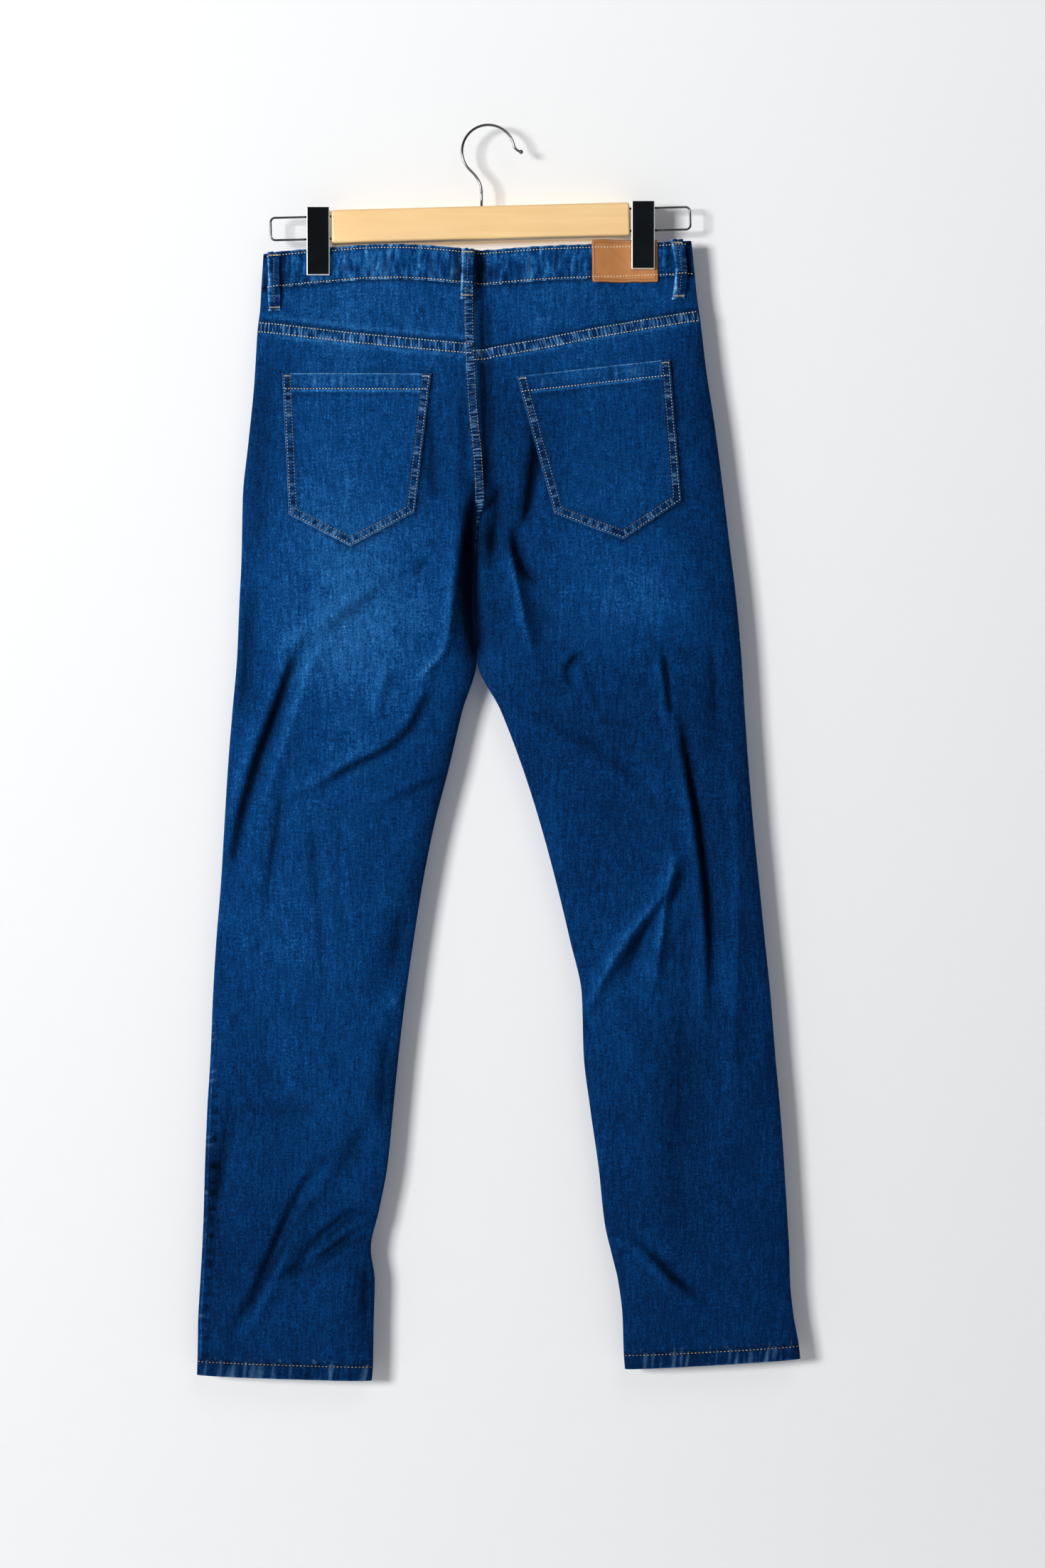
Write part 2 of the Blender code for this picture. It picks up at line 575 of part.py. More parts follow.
def box(name, size, finish, group):
    work = bmesh.new()
    bmesh.ops.create_cube(work, size=1)
    bmesh.ops.scale(work, vec=Vector(size) * MM, verts=work.verts)
    mesh = bpy.data.meshes.new(name)
    work.to_mesh(mesh)
    work.free()
    return add_object(name, mesh, finish, group)


def drill(name, centre, direction, radius, depth, parent, group):
    """A round cutter, centred on a point of its parent's frame."""
    work = bmesh.new()
    bmesh.ops.create_cone(
        work,
        cap_ends=True,
        segments=16,
        radius1=radius * MM,
        radius2=radius * MM,
        depth=depth * MM,
        matrix=Vector(direction).to_track_quat("Z", "Y").to_matrix().to_4x4(),
    )
    mesh = bpy.data.meshes.new(name)
    work.to_mesh(mesh)
    work.free()
    made = add_object(name, mesh, None, group)
    made.parent = parent
    made.location = Vector(centre) * MM
    made.hide_render = True
    made.display_type = "WIRE"
    return made


def wire(name, points, radius, finish, group, sides=3):
    """A round wire along points, as a curve with filled caps."""
    curve = bpy.data.curves.new(name, "CURVE")
    curve.dimensions = "3D"
    curve.bevel_depth = radius * MM
    curve.bevel_resolution = sides - 1
    curve.use_fill_caps = True
    spline = curve.splines.new("POLY")
    spline.points.add(len(points) - 1)
    for point, place in zip(spline.points, points):
        point.co = (*(Vector(place) * MM), 1)
    return add_object(name, curve, finish, group)


def hook_route():
    """The hook's centreline: tip, bow, neck and stem, in the plane y = 0."""
    centre_z = -(HOOK_BOW - HOOK_WIRE)
    bow = [
        (HOOK_BOW * math.cos(a), 0, centre_z + HOOK_BOW * math.sin(a))
        for a in np.linspace(HOOK_TIP_ANGLE, HOOK_NECK_ANGLE, 26)
    ]
    start_x, start_z = bow[0][0], bow[0][2]
    tip = [(start_x + 6.0, 0, start_z - 4.6), (start_x + 3.4, 0, start_z - 3.6), (start_x + 1.0, 0, start_z - 1.6)]
    end = Vector(bow[-1])
    heading = Vector((math.sin(HOOK_NECK_ANGLE) * -1, 0, math.cos(HOOK_NECK_ANGLE))).normalized()
    foot = Vector((STEM_X, 0, -54.0))
    neck = []
    for t in np.linspace(0, 1, 8)[1:]:
        reach = 14
        p0, p1, p2, p3 = end, end + heading * reach, foot + Vector((0, 0, reach)), foot
        neck.append(tuple((1 - t) ** 3 * p0 + 3 * (1 - t) ** 2 * t * p1 + 3 * (1 - t) * t**2 * p2 + t**3 * p3))
    bar_top = BAR_CENTRE[1] + BAR_SIZE[2] / 2
    stem = [(STEM_X, 0, bar_top - SOCKET_DEPTH + 1)]
    return tip + bow + neck + stem


def rail_route(direction):
    """A U of wire out of one end of the bar, in the bar's frame."""
    inside = BAR_SIZE[0] / 2 - SOCKET_DEPTH + 1
    centre = RAIL_REACH - RAIL_CORNER
    flat = RAIL_HALF_HEIGHT - RAIL_CORNER
    turn = np.linspace(0, math.pi / 2, 5)
    upper = [(centre + RAIL_CORNER * math.sin(a), flat + RAIL_CORNER * math.cos(a)) for a in turn]
    lower = [(x, -z) for x, z in reversed(upper)]
    route = [(inside, RAIL_HALF_HEIGHT), *upper, *lower, (inside, -RAIL_HALF_HEIGHT)]
    return [(direction * x, 0, z) for x, z in route]


def build_hanger(wood, steel, parts, cutters):
    frame = bpy.data.objects.new("hanger_frame", None)
    parts.objects.link(frame)
    frame.location = Vector((BAR_CENTRE[0], 0, BAR_CENTRE[1])) * MM
    frame.rotation_euler = (0, -HANGER_TILT, 0)
    bar = box("hanger_bar", BAR_SIZE, wood, parts)
    bar.parent = frame
    round_edges(bar, BAR_EDGE, 3)
    hole = HOOK_WIRE + SOCKET_CLEAR
    top = BAR_SIZE[2] / 2
    stem_x = STEM_X - BAR_CENTRE[0]
    socket = drill("hook_socket", (stem_x, 0, top), (0, 0, 1), hole, 2 * SOCKET_DEPTH, None, cutters)
    socket.location = Vector((STEM_X, 0, BAR_CENTRE[1] + top)) * MM
    cut(bar, socket, "DIFFERENCE")
    for direction, side in ((-1, "left"), (1, "right")):
        rail = wire(f"clip_rail_{side}", rail_route(direction), RAIL_WIRE, steel, parts)
        rail.parent = frame
        for level, height in (("upper", RAIL_HALF_HEIGHT), ("lower", -RAIL_HALF_HEIGHT)):
            end = (direction * BAR_SIZE[0] / 2, 0, height)
            socket = drill(
                f"rail_socket_{side}_{level}", end, (1, 0, 0), RAIL_WIRE + SOCKET_CLEAR, 2 * SOCKET_DEPTH, frame, cutters
            )
            cut(bar, socket, "DIFFERENCE")
    wire("hanger_hook", hook_route(), HOOK_WIRE, steel, parts, sides=4)
    return frame


def jaw_profile(grip):
    """Side view of a jaw, as (distance from the middle plane, height): a lever with a tooth at its foot."""
    half = CLIP_HEIGHT / 2
    top, foot = CLIP_TOP_DEPTH, grip + CLIP_PLATE + 1.4
    return (
        (top, half),
        (foot, -half),
        (grip, -half),
        (grip, -half + 7),
        (foot - CLIP_PLATE + 0.4, -half + 9),
        (top - CLIP_PLATE, half),
    )


def build_clips(steel, rubber, frame, parts, cutters):
    """Each clip is two jaws on a saddle that slides on the rail's two wires."""
    for side, centre, patch in (("left", LEFT_CLIP, 0.0), ("right", RIGHT_CLIP, LEATHER + GAP)):
        in_frame = Matrix.Rotation(HANGER_TILT, 3, "Y") @ Vector((centre[0] - BAR_CENTRE[0], 0, 0))
        for face, outward in OUTWARD.items():
            spots = centre[0] + np.linspace(-0.5, 0.5, 21) * CLIP_WIDTH
            grip = band_reach(side, face, spots) + GAP + (patch if face == "back" else 0.0)
            outline = jaw_profile(grip)
            work = bmesh.new()
            left = centre[0] - CLIP_WIDTH / 2
            corners = [work.verts.new(Vector((left, outward * y, centre[1] + z)) * MM) for y, z in outline]
            side_face = work.faces.new(corners)
            run = bmesh.ops.extrude_face_region(work, geom=[side_face])["geom"]
            moved = [g for g in run if isinstance(g, bmesh.types.BMVert)]
            bmesh.ops.translate(work, verts=moved, vec=(CLIP_WIDTH * MM, 0, 0))
            bmesh.ops.recalc_face_normals(work, faces=work.faces)
            mesh = bpy.data.meshes.new(f"clip_{side}_{face}")
            work.to_mesh(mesh)
            work.free()
            jaw = add_object(mesh.name, mesh, steel, parts)
            round_edges(jaw, 0.4, 2)
        width, height = SADDLE_SIZE
        inner = CLIP_TOP_DEPTH - CLIP_PLATE - 1.6
        saddle = box(f"clip_{side}_saddle", (width, 2 * inner, height), steel, parts)
        saddle.parent = frame
        saddle.location = Vector((in_frame.x, 0, 0)) * MM
        round_edges(saddle, 0.6, 2)
        for level, offset in (("upper", RAIL_HALF_HEIGHT), ("lower", -RAIL_HALF_HEIGHT)):
            hole = drill(
                f"saddle_hole_{side}_{level}",
                (in_frame.x, 0, offset),
                (1, 0, 0),
                RAIL_WIRE + SOCKET_CLEAR,
                2 * width,
                frame,
                cutters,
            )
            cut(saddle, hole, "DIFFERENCE")


def main():
    for obj in list(bpy.data.objects):
        bpy.data.objects.remove(obj)
    parts, cutters = collection("slim_fit_jeans"), collection("cutters")
    cutters.hide_render = True
    denim = material("denim", (0.012, 0.062, 0.165), 0.85)
    leather = material("patch_leather", (0.42, 0.17, 0.07), 0.6)
    wood = material("hanger_wood", (0.85, 0.58, 0.30), 0.45)
    steel = material("polished_steel", (0.55, 0.56, 0.58), 0.15, 1.0)
    build_panels(denim, parts)
    build_hems(denim, parts)
    build_waistband(denim, parts)
    build_back_pockets(denim, parts, cutters)
    build_patch(leather, parts, cutters)
    build_belt_loops(denim, parts)
    build_front_pockets(denim, parts, cutters)
    build_fly(denim, parts, cutters)
    build_button(steel, parts)
    frame = build_hanger(wood, steel, parts, cutters)
    build_clips(steel, None, frame, parts, cutters)


main()
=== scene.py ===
"""Looks of a pair of slim fit jeans that hang by the waistband from a wooden clip hanger.

Metres, +Z up, +X to the right of someone who looks at the seat of the jeans, whose back is towards -Y.
The origin is the underside of the hook's bow. The tables of the garment's form are in millimetres.
"""

from __future__ import annotations

import json
import logging
import math
from dataclasses import dataclass, field
from enum import Enum
from typing import NamedTuple

import bmesh
import bpy
import numpy as np
from mathutils import Matrix, Vector
from mathutils.bvhtree import BVHTree

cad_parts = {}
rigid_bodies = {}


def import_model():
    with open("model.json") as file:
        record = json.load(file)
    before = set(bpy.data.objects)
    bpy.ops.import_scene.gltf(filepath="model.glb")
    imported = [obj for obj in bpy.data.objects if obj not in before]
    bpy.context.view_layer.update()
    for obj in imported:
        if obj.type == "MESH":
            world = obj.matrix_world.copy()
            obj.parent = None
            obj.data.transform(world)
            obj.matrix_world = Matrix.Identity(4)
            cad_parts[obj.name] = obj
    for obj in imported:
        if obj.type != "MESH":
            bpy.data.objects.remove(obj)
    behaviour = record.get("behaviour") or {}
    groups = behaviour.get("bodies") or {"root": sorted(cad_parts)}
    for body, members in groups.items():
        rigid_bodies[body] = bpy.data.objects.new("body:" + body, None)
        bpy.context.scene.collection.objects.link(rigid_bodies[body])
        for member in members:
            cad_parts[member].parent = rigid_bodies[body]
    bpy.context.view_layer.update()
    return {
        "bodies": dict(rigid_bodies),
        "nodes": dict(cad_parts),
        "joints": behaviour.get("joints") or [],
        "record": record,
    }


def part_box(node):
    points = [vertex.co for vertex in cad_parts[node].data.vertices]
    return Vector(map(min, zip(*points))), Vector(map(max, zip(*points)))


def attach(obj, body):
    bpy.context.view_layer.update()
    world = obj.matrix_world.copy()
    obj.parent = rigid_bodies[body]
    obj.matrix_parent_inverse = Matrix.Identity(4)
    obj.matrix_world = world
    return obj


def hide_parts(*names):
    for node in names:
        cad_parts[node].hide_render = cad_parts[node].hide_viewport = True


LOG = logging.getLogger("slim_fit_jeans")
MM = 0.001
Array = np.ndarray
Colour = tuple[float, float, float]
Path = tuple[tuple[float, float], ...]


class Side(Enum):
    """Half of the garment, by the direction of its side seam along X."""

    LEFT = -1
    RIGHT = 1

    @property
    def word(self) -> str:
        """The side's name inside a piece's name."""
        return self.name.lower()


class Face(Enum):
    """Back or front of the garment, by the direction it faces along Y."""

    BACK = -1
    FRONT = 1

    @property
    def word(self) -> str:
        """The face's name inside a piece's name."""
        return self.name.lower()


class Section(NamedTuple):
    """A line across one half, from the side seam (outer) to the centre seam or inseam (inner)."""

    name: str
    outer_x: float
    outer_z: float
    inner_x: float
    inner_z: float
    arch: float
    back: float
    front: float
    fork: float
    drape: float
    drop: float


class Wave(NamedTuple):
    """Half depths of the gathered waist at one place along X."""

    x: float
    back: float
    front: float


class Shape(Enum):
    """Cross profile of a crease."""

    SOFT = "soft"
    LAP = "lap"


class Crease(NamedTuple):
    """A trough (height below 0) or ridge along a path, with a half width on each side of the walk."""

    name: str
    face: Face
    path: Path
    height: float
    left: float
    right: float
    shape: Shape = Shape.SOFT


class PaintedShadingLine(NamedTuple):
    """A line of painted shade along a fold, the cleft or a seam (strength above 0) or of painted highlight
    along a ridge or seam edge (below 0), with its half width.
    """

    path: Path
    width: float
    strength: float


class Fade(NamedTuple):
    """A washed-out patch: centre, radii, turn in degrees and strength."""

    face: Face
    x: float
    z: float
    radius_x: float
    radius_z: float
    turn: float
    strength: float


# name, then outer_x, outer_z, inner_x, inner_z and arch of the left half and of the right half,
# then back, front, fork, drape and drop, which both halves share
LEVELS = (
    ("waist_top", (-196, -112, -16, -110, 6), (177, -100.5, -16, -110, 0.5), (6, 6, 0.0, 0.0, 8)),
    ("waist_seam", (-198, -144, -16, -141, 7), (180, -130.5, -16, -141, 1), (8, 8, 0.0, 0.0, 8)),
    ("yoke_middle", (-199, -161, -16, -171, 3), (182, -150, -16, -171, 1), (11, 10, 0.0, 0.5, 6)),
    ("yoke_seam", (-201, -177, -15, -200, 3), (184.5, -167, -15, -200, 0), (14, 12, 0.0, 0.8, 4)),
    ("hip", (-204, -225, -13, -239, 0), (190, -213, -13, -239, 0), (17, 15, 0.0, 1.0, 2)),
    ("seat", (-209, -275, -10, -283, 0), (197.5, -262, -10, -283, 0), (18, 16, 0.0, 1.0, 0)),
    ("low_seat", (-214, -324, -6.5, -326, 0), (204, -312, -6.5, -326, 0), (18, 16, 0.0, 1.0, 0)),
    ("fork_top", (-215, -374, -10, -373, 0), (210, -362, -10, -373, 0), (18, 16, 0.3, 1.0, 0)),
    ("fork_middle", (-217, -417, -11, -418, 0), (216, -411, -11, -418, 0), (17, 16, 0.65, 1.0, 0)),
    ("crotch", (-219, -464, -10, -465, 0), (220.5, -461, -10, -465, 0), (17, 15, 1.0, 1.0, 0)),
    ("upper_thigh", (-223, -510, -22.6, -510, 0), (223.5, -510, 11, -510, 0), (16, 15, 1.0, 1.0, 0)),
    ("thigh", (-227, -560, -34.4, -560, 0), (227, -560, 30, -560, 0), (15, 14, 1.0, 1.0, 0)),
    ("lower_thigh", (-230, -609, -47, -609, 0), (231, -609, 45.5, -609, 0), (14, 13, 1.0, 1.0, 0)),
    ("above_knee", (-233, -659, -57, -659, 0), (236, -659, 59, -659, 0), (13, 12, 1.0, 1.0, 0)),
    ("knee_top", (-237, -709, -65, -709, 0), (241, -709, 71, -709, 0), (12, 11, 1.0, 1.0, 0)),
    ("knee", (-240, -758, -72, -758, 0), (246, -758, 81.5, -758, 0), (11.5, 11, 1.0, 1.0, 0)),
    ("below_knee", (-242, -808, -78, -808, 0), (250, -808, 83, -808, 0), (11, 10, 1.0, 1.0, 0)),
    ("upper_calf", (-245, -858, -83, -858, 0), (254.5, -858, 89, -858, 0), (10.5, 10, 1.0, 1.0, 0)),
    ("calf", (-247, -907, -88, -907, 0), (258, -907, 96, -907, 0), (10, 9.5, 1.0, 1.0, 0)),
    ("lower_calf", (-248, -944, -95, -944, 0), (261, -957, 101.5, -957, 0), (10, 9, 1.0, 1.0, 0)),
    ("notch", (-249.5, -980, -102.5, -979, 0), (262.5, -984, 108, -985, 0), (9.5, 9, 1.0, 1.0, 0)),
    ("shin", (-251, -1006, -99, -1006, 0), (263, -1006, 113, -1006, 0), (9, 8.5, 1.0, 1.0, 0)),
    ("ankle", (-253, -1043, -100, -1044, 0), (266, -1036, 117, -1038, 0), (8.5, 8, 1.0, 1.0, 0)),
    ("hem_seam", (-253.5, -1074, -100.5, -1079, 0), (270.5, -1061, 118, -1069, 0), (8, 8, 1.0, 1.0, 0)),
    ("hem_edge", (-254, -1088, -101.5, -1093, 0), (272, -1074, 119, -1083, 0), (8, 8, 1.0, 1.0, 0)),
)
LEFT_SECTIONS = tuple(Section(name, *left, *depths) for name, left, _, depths in LEVELS)
RIGHT_SECTIONS = tuple(Section(name, *right, *depths) for name, _, right, depths in LEVELS)

WAIST_WAVES = (
    Wave(-196, 4, 4), Wave(-178, 4, 4), Wave(-160, 0.6, 0.6), Wave(-136, 0.6, 0.6), Wave(-115, 6, 5),
    Wave(-80, 12, 9), Wave(-45, 14, 11), Wave(-18, 13.5, 10), Wave(-5, 4.5, 9), Wave(14, 6.5, 10),
    Wave(50, 10, 11), Wave(90, 7, 7), Wave(122, 0.6, 0.6), Wave(147, 0.6, 0.6), Wave(164, 4, 4),
    Wave(180, 4, 4),
)

BACK, FRONT, LAP = Face.BACK, Face.FRONT, Shape.LAP
CREASES = (
    Crease("centre_fold", BACK, ((-3, -150), (-3, -195), (-2, -237), (-1, -292), (-1, -324)), -4.5, 6, 4),
    Crease("centre_hollow", BACK, ((2, -300), (10, -325), (8, -352), (2, -392)), -3.6, 12, 8),
    Crease("centre_slant", BACK, ((-6, -342), (4, -330), (13, -316)), -3.4, 6, 5),
    Crease(
        "cleft", BACK, ((-9, -318), (-13, -345), (-13, -380), (-13, -405), (-12, -432), (-10, -475)),
        -9.5, 6, 9,
    ),
    Crease(
        "seat_ridge_left", BACK, ((-16, -318), (-23, -350), (-27, -380), (-30, -402), (-33, -430),
        (-38, -458), (-48, -469), (-62, -484)), 4.2, 5, 9,
    ),
    Crease("left_centre_dent", BACK, ((-46, -245), (-47, -300), (-44, -335)), -1.8, 7, 6),
    Crease("left_centre_ridge", BACK, ((-28, -235), (-26, -290), (-29, -340)), 1.6, 6, 7),
    Crease("seat_nick", BACK, ((-52, -378), (-61, -394)), -2.2, 4, 4),
    Crease("pocket_trough", BACK, ((43, -268), (41, -300), (37, -328), (31, -352)), -5.5, 6, 8),
    Crease("pocket_trough_low", BACK, ((24, -354), (25, -370), (31, -386), (46, -402)), -5.0, 7, 5),
    Crease(
        "seat_ridge_right", BACK, ((13, -345), (18, -368), (22, -388), (27, -411), (32, -436), (39, -462)),
        3.6, 4, 5,
    ),
    Crease("right_seat_hollow", BACK, ((34, -400), (44, -425), (50, -456)), -2.6, 14, 9),
    Crease(
        "hip_sweep", BACK, ((-160, -444), (-170, -464), (-179, -492), (-190, -520), (-204, -556),
        (-216, -596), (-225, -645)), 4.4, 8, 10, LAP,
    ),
    Crease("hip_sweep_deep", BACK, ((-172, -470), (-182, -505), (-194, -535), (-205, -566)), -3.0, 9, 5),
    Crease("hip_sweep_top", BACK, ((-88, -396), (-108, -414), (-136, -434), (-160, -447)), 2.6, 7, 9, LAP),
    Crease(
        "hip_sweep_ridge", BACK, ((-126, -436), (-150, -462), (-166, -505), (-184, -560), (-200, -610)),
        2.2, 11, 9,
    ),
    Crease("outer_hip_dent", BACK, ((-207, -405), (-209, -450), (-212, -500)), -2.6, 6, 6),
    Crease("seat_fall", BACK, ((-88, -478), (-97, -512)), 2.2, 6, 8),
    Crease(
        "under_seat", BACK, ((-50, -484), (-60, -508), (-72, -528), (-92, -544), (-118, -556),
        (-148, -574), (-170, -584)), 3.6, 6, 7, LAP,
    ),
    Crease("inseam_nick", BACK, ((-36, -563), (-58, -573), (-84, -585), (-104, -590)), 2.4, 6, 7, LAP),
    Crease("thigh_drag", BACK, ((-176, -568), (-180, -600), (-188, -650), (-192, -690)), -2.6, 8, 7),
    Crease("thigh_drag_middle", BACK, ((-152, -600), (-148, -650), (-144, -700), (-140, -760)), -1.8, 8, 7),
    Crease("thigh_drag_inner", BACK, ((-126, -600), (-128, -660), (-122, -720)), -1.2, 9, 8),
    Crease("inner_shade", BACK, ((-72, -676), (-78, -710), (-86, -745)), -3.4, 9, 12),
    Crease("inner_bulge", BACK, ((-74, -750), (-79, -762), (-88, -770)), 3.0, 7, 7),
    Crease("inner_shade_low", BACK, ((-80, -776), (-88, -810), (-92, -870)), -3.2, 8, 9),
    Crease("calf_band", BACK, ((-232, -850), (-178, -856), (-125, -853)), -1.6, 12, 12),
    Crease("calf_inner", BACK, ((-104, -868), (-118, -894), (-134, -916)), -2.8, 8, 9),
    Crease("outer_calf", BACK, ((-222, -845), (-226, -870), (-231, -900), (-235, -945)), -2.6, 6, 6),
    Crease(
        "shin_sweep", BACK, ((-139, -905), (-153, -918), (-172, -954), (-189, -994), (-205, -1027),
        (-219, -1051)), -5.2, 8, 6, LAP,
    ),
    Crease(
        "notch_upper", BACK, ((-94, -944), (-112, -947), (-128, -957), (-147, -973), (-162, -992)),
        -4.4, 5, 6, LAP,
    ),
    Crease(
        "notch_lower", BACK, ((-100, -962), (-118, -970), (-136, -982), (-156, -992), (-182, -1006)),
        -4.2, 6, 5, LAP,
    ),
    Crease("ankle_inner", BACK, ((-103, -986), (-106, -1010), (-104, -1050)), -2.6, 6, 7),
    Crease("right_hook", BACK, ((84, -460), (75, -466), (70, -475), (73, -488)), -3.2, 4, 4),
    Crease("right_hook_ridge", BACK, ((79, -468), (83, -488), (91, -508)), 2.0, 4, 5),
    Crease("right_long_top", BACK, ((149, -460), (152, -480), (155, -500), (156, -518)), 3.0, 4, 5, LAP),
    Crease(
        "right_long", BACK, ((163, -515), (169, -545), (174, -575), (180, -610), (185, -645), (189, -685),
        (190, -730), (188, -775)), 4.4, 7, 7, LAP,
    ),
    Crease(
        "right_long_deep", BACK, ((170, -540), (178, -580), (183, -620), (187, -655), (190, -700)),
        -2.4, 10, 5,
    ),
    Crease("right_outer_dent", BACK, ((193, -452), (197, -480), (198, -520)), -2.0, 6, 5),
    Crease("right_outer", BACK, ((212, -540), (217, -640), (216, -720), (210, -850)), 2.4, 11, 11),
    Crease(
        "knee_ridge", BACK, ((170, -640), (159, -662), (145, -680), (126, -705), (104, -739), (88, -768)),
        5.4, 8, 8, LAP,
    ),
    Crease(
        "knee_ridge_low", BACK, ((160, -632), (157, -662), (152, -690), (148, -721), (144, -748)),
        3.6, 5, 8,
    ),
    Crease("knee_hollow", BACK, ((139, -700), (130, -722), (118, -752)), -3.0, 8, 7),
    Crease("inseam_step", BACK, ((84, -776), (90, -792)), -3.0, 6, 6),
    Crease(
        "right_bend", BACK, ((14, -502), (34, -516), (60, -528), (101, -552), (138, -586)), 1.8, 8,
        9, LAP,
    ),
    Crease(
        "right_notch", BACK, ((108, -966), (128, -974), (146, -988), (160, -1003), (184, -1024)),
        3.0, 6, 7, LAP,
    ),
    Crease("right_shin", BACK, ((178, -700), (172, -800), (168, -890), (173, -990)), -2.8, 16, 22),
    Crease("front_hip_left", FRONT, ((-60, -445), (-118, -480), (-168, -540), (-200, -600)), -5, 9, 14),
    Crease("front_fork_left", FRONT, ((-20, -440), (-50, -470), (-90, -490)), -3.2, 8, 8, LAP),
    Crease("front_under_left", FRONT, ((-38, -505), (-80, -540), (-135, -560)), -3, 7, 9),
    Crease(
        "front_knee_left", FRONT, ((-76, -742), (-120, -756), (-175, -768), (-226, -760)), -3.6, 8,
        9, LAP,
    ),
    Crease("front_calf_left", FRONT, ((-92, -845), (-140, -862), (-190, -880)), -2.4, 8, 10),
    Crease(
        "front_shin_left", FRONT, ((-100, -962), (-140, -978), (-180, -1002), (-212, -1040)), -3.6,
        8, 8, LAP,
    ),
    Crease("front_hip_right", FRONT, ((30, -445), (92, -482), (148, -545), (186, -610)), -5, 14, 9),
    Crease("front_fork_right", FRONT, ((-2, -440), (30, -468), (68, -486)), -3.2, 8, 8, LAP),
    Crease("front_under_right", FRONT, ((28, -520), (80, -548), (140, -562)), -3, 9, 7),
    Crease("front_knee_right", FRONT, ((92, -756), (135, -770), (185, -774), (232, -758)), -3.6, 9, 8, LAP),
    Crease("front_calf_right", FRONT, ((104, -860), (150, -872), (205, -884)), -2.4, 10, 8),
    Crease(
        "front_shin_right", FRONT, ((116, -985), (150, -998), (190, -1014), (226, -1044)), -3.6, 8,
        8, LAP,
    ),
)
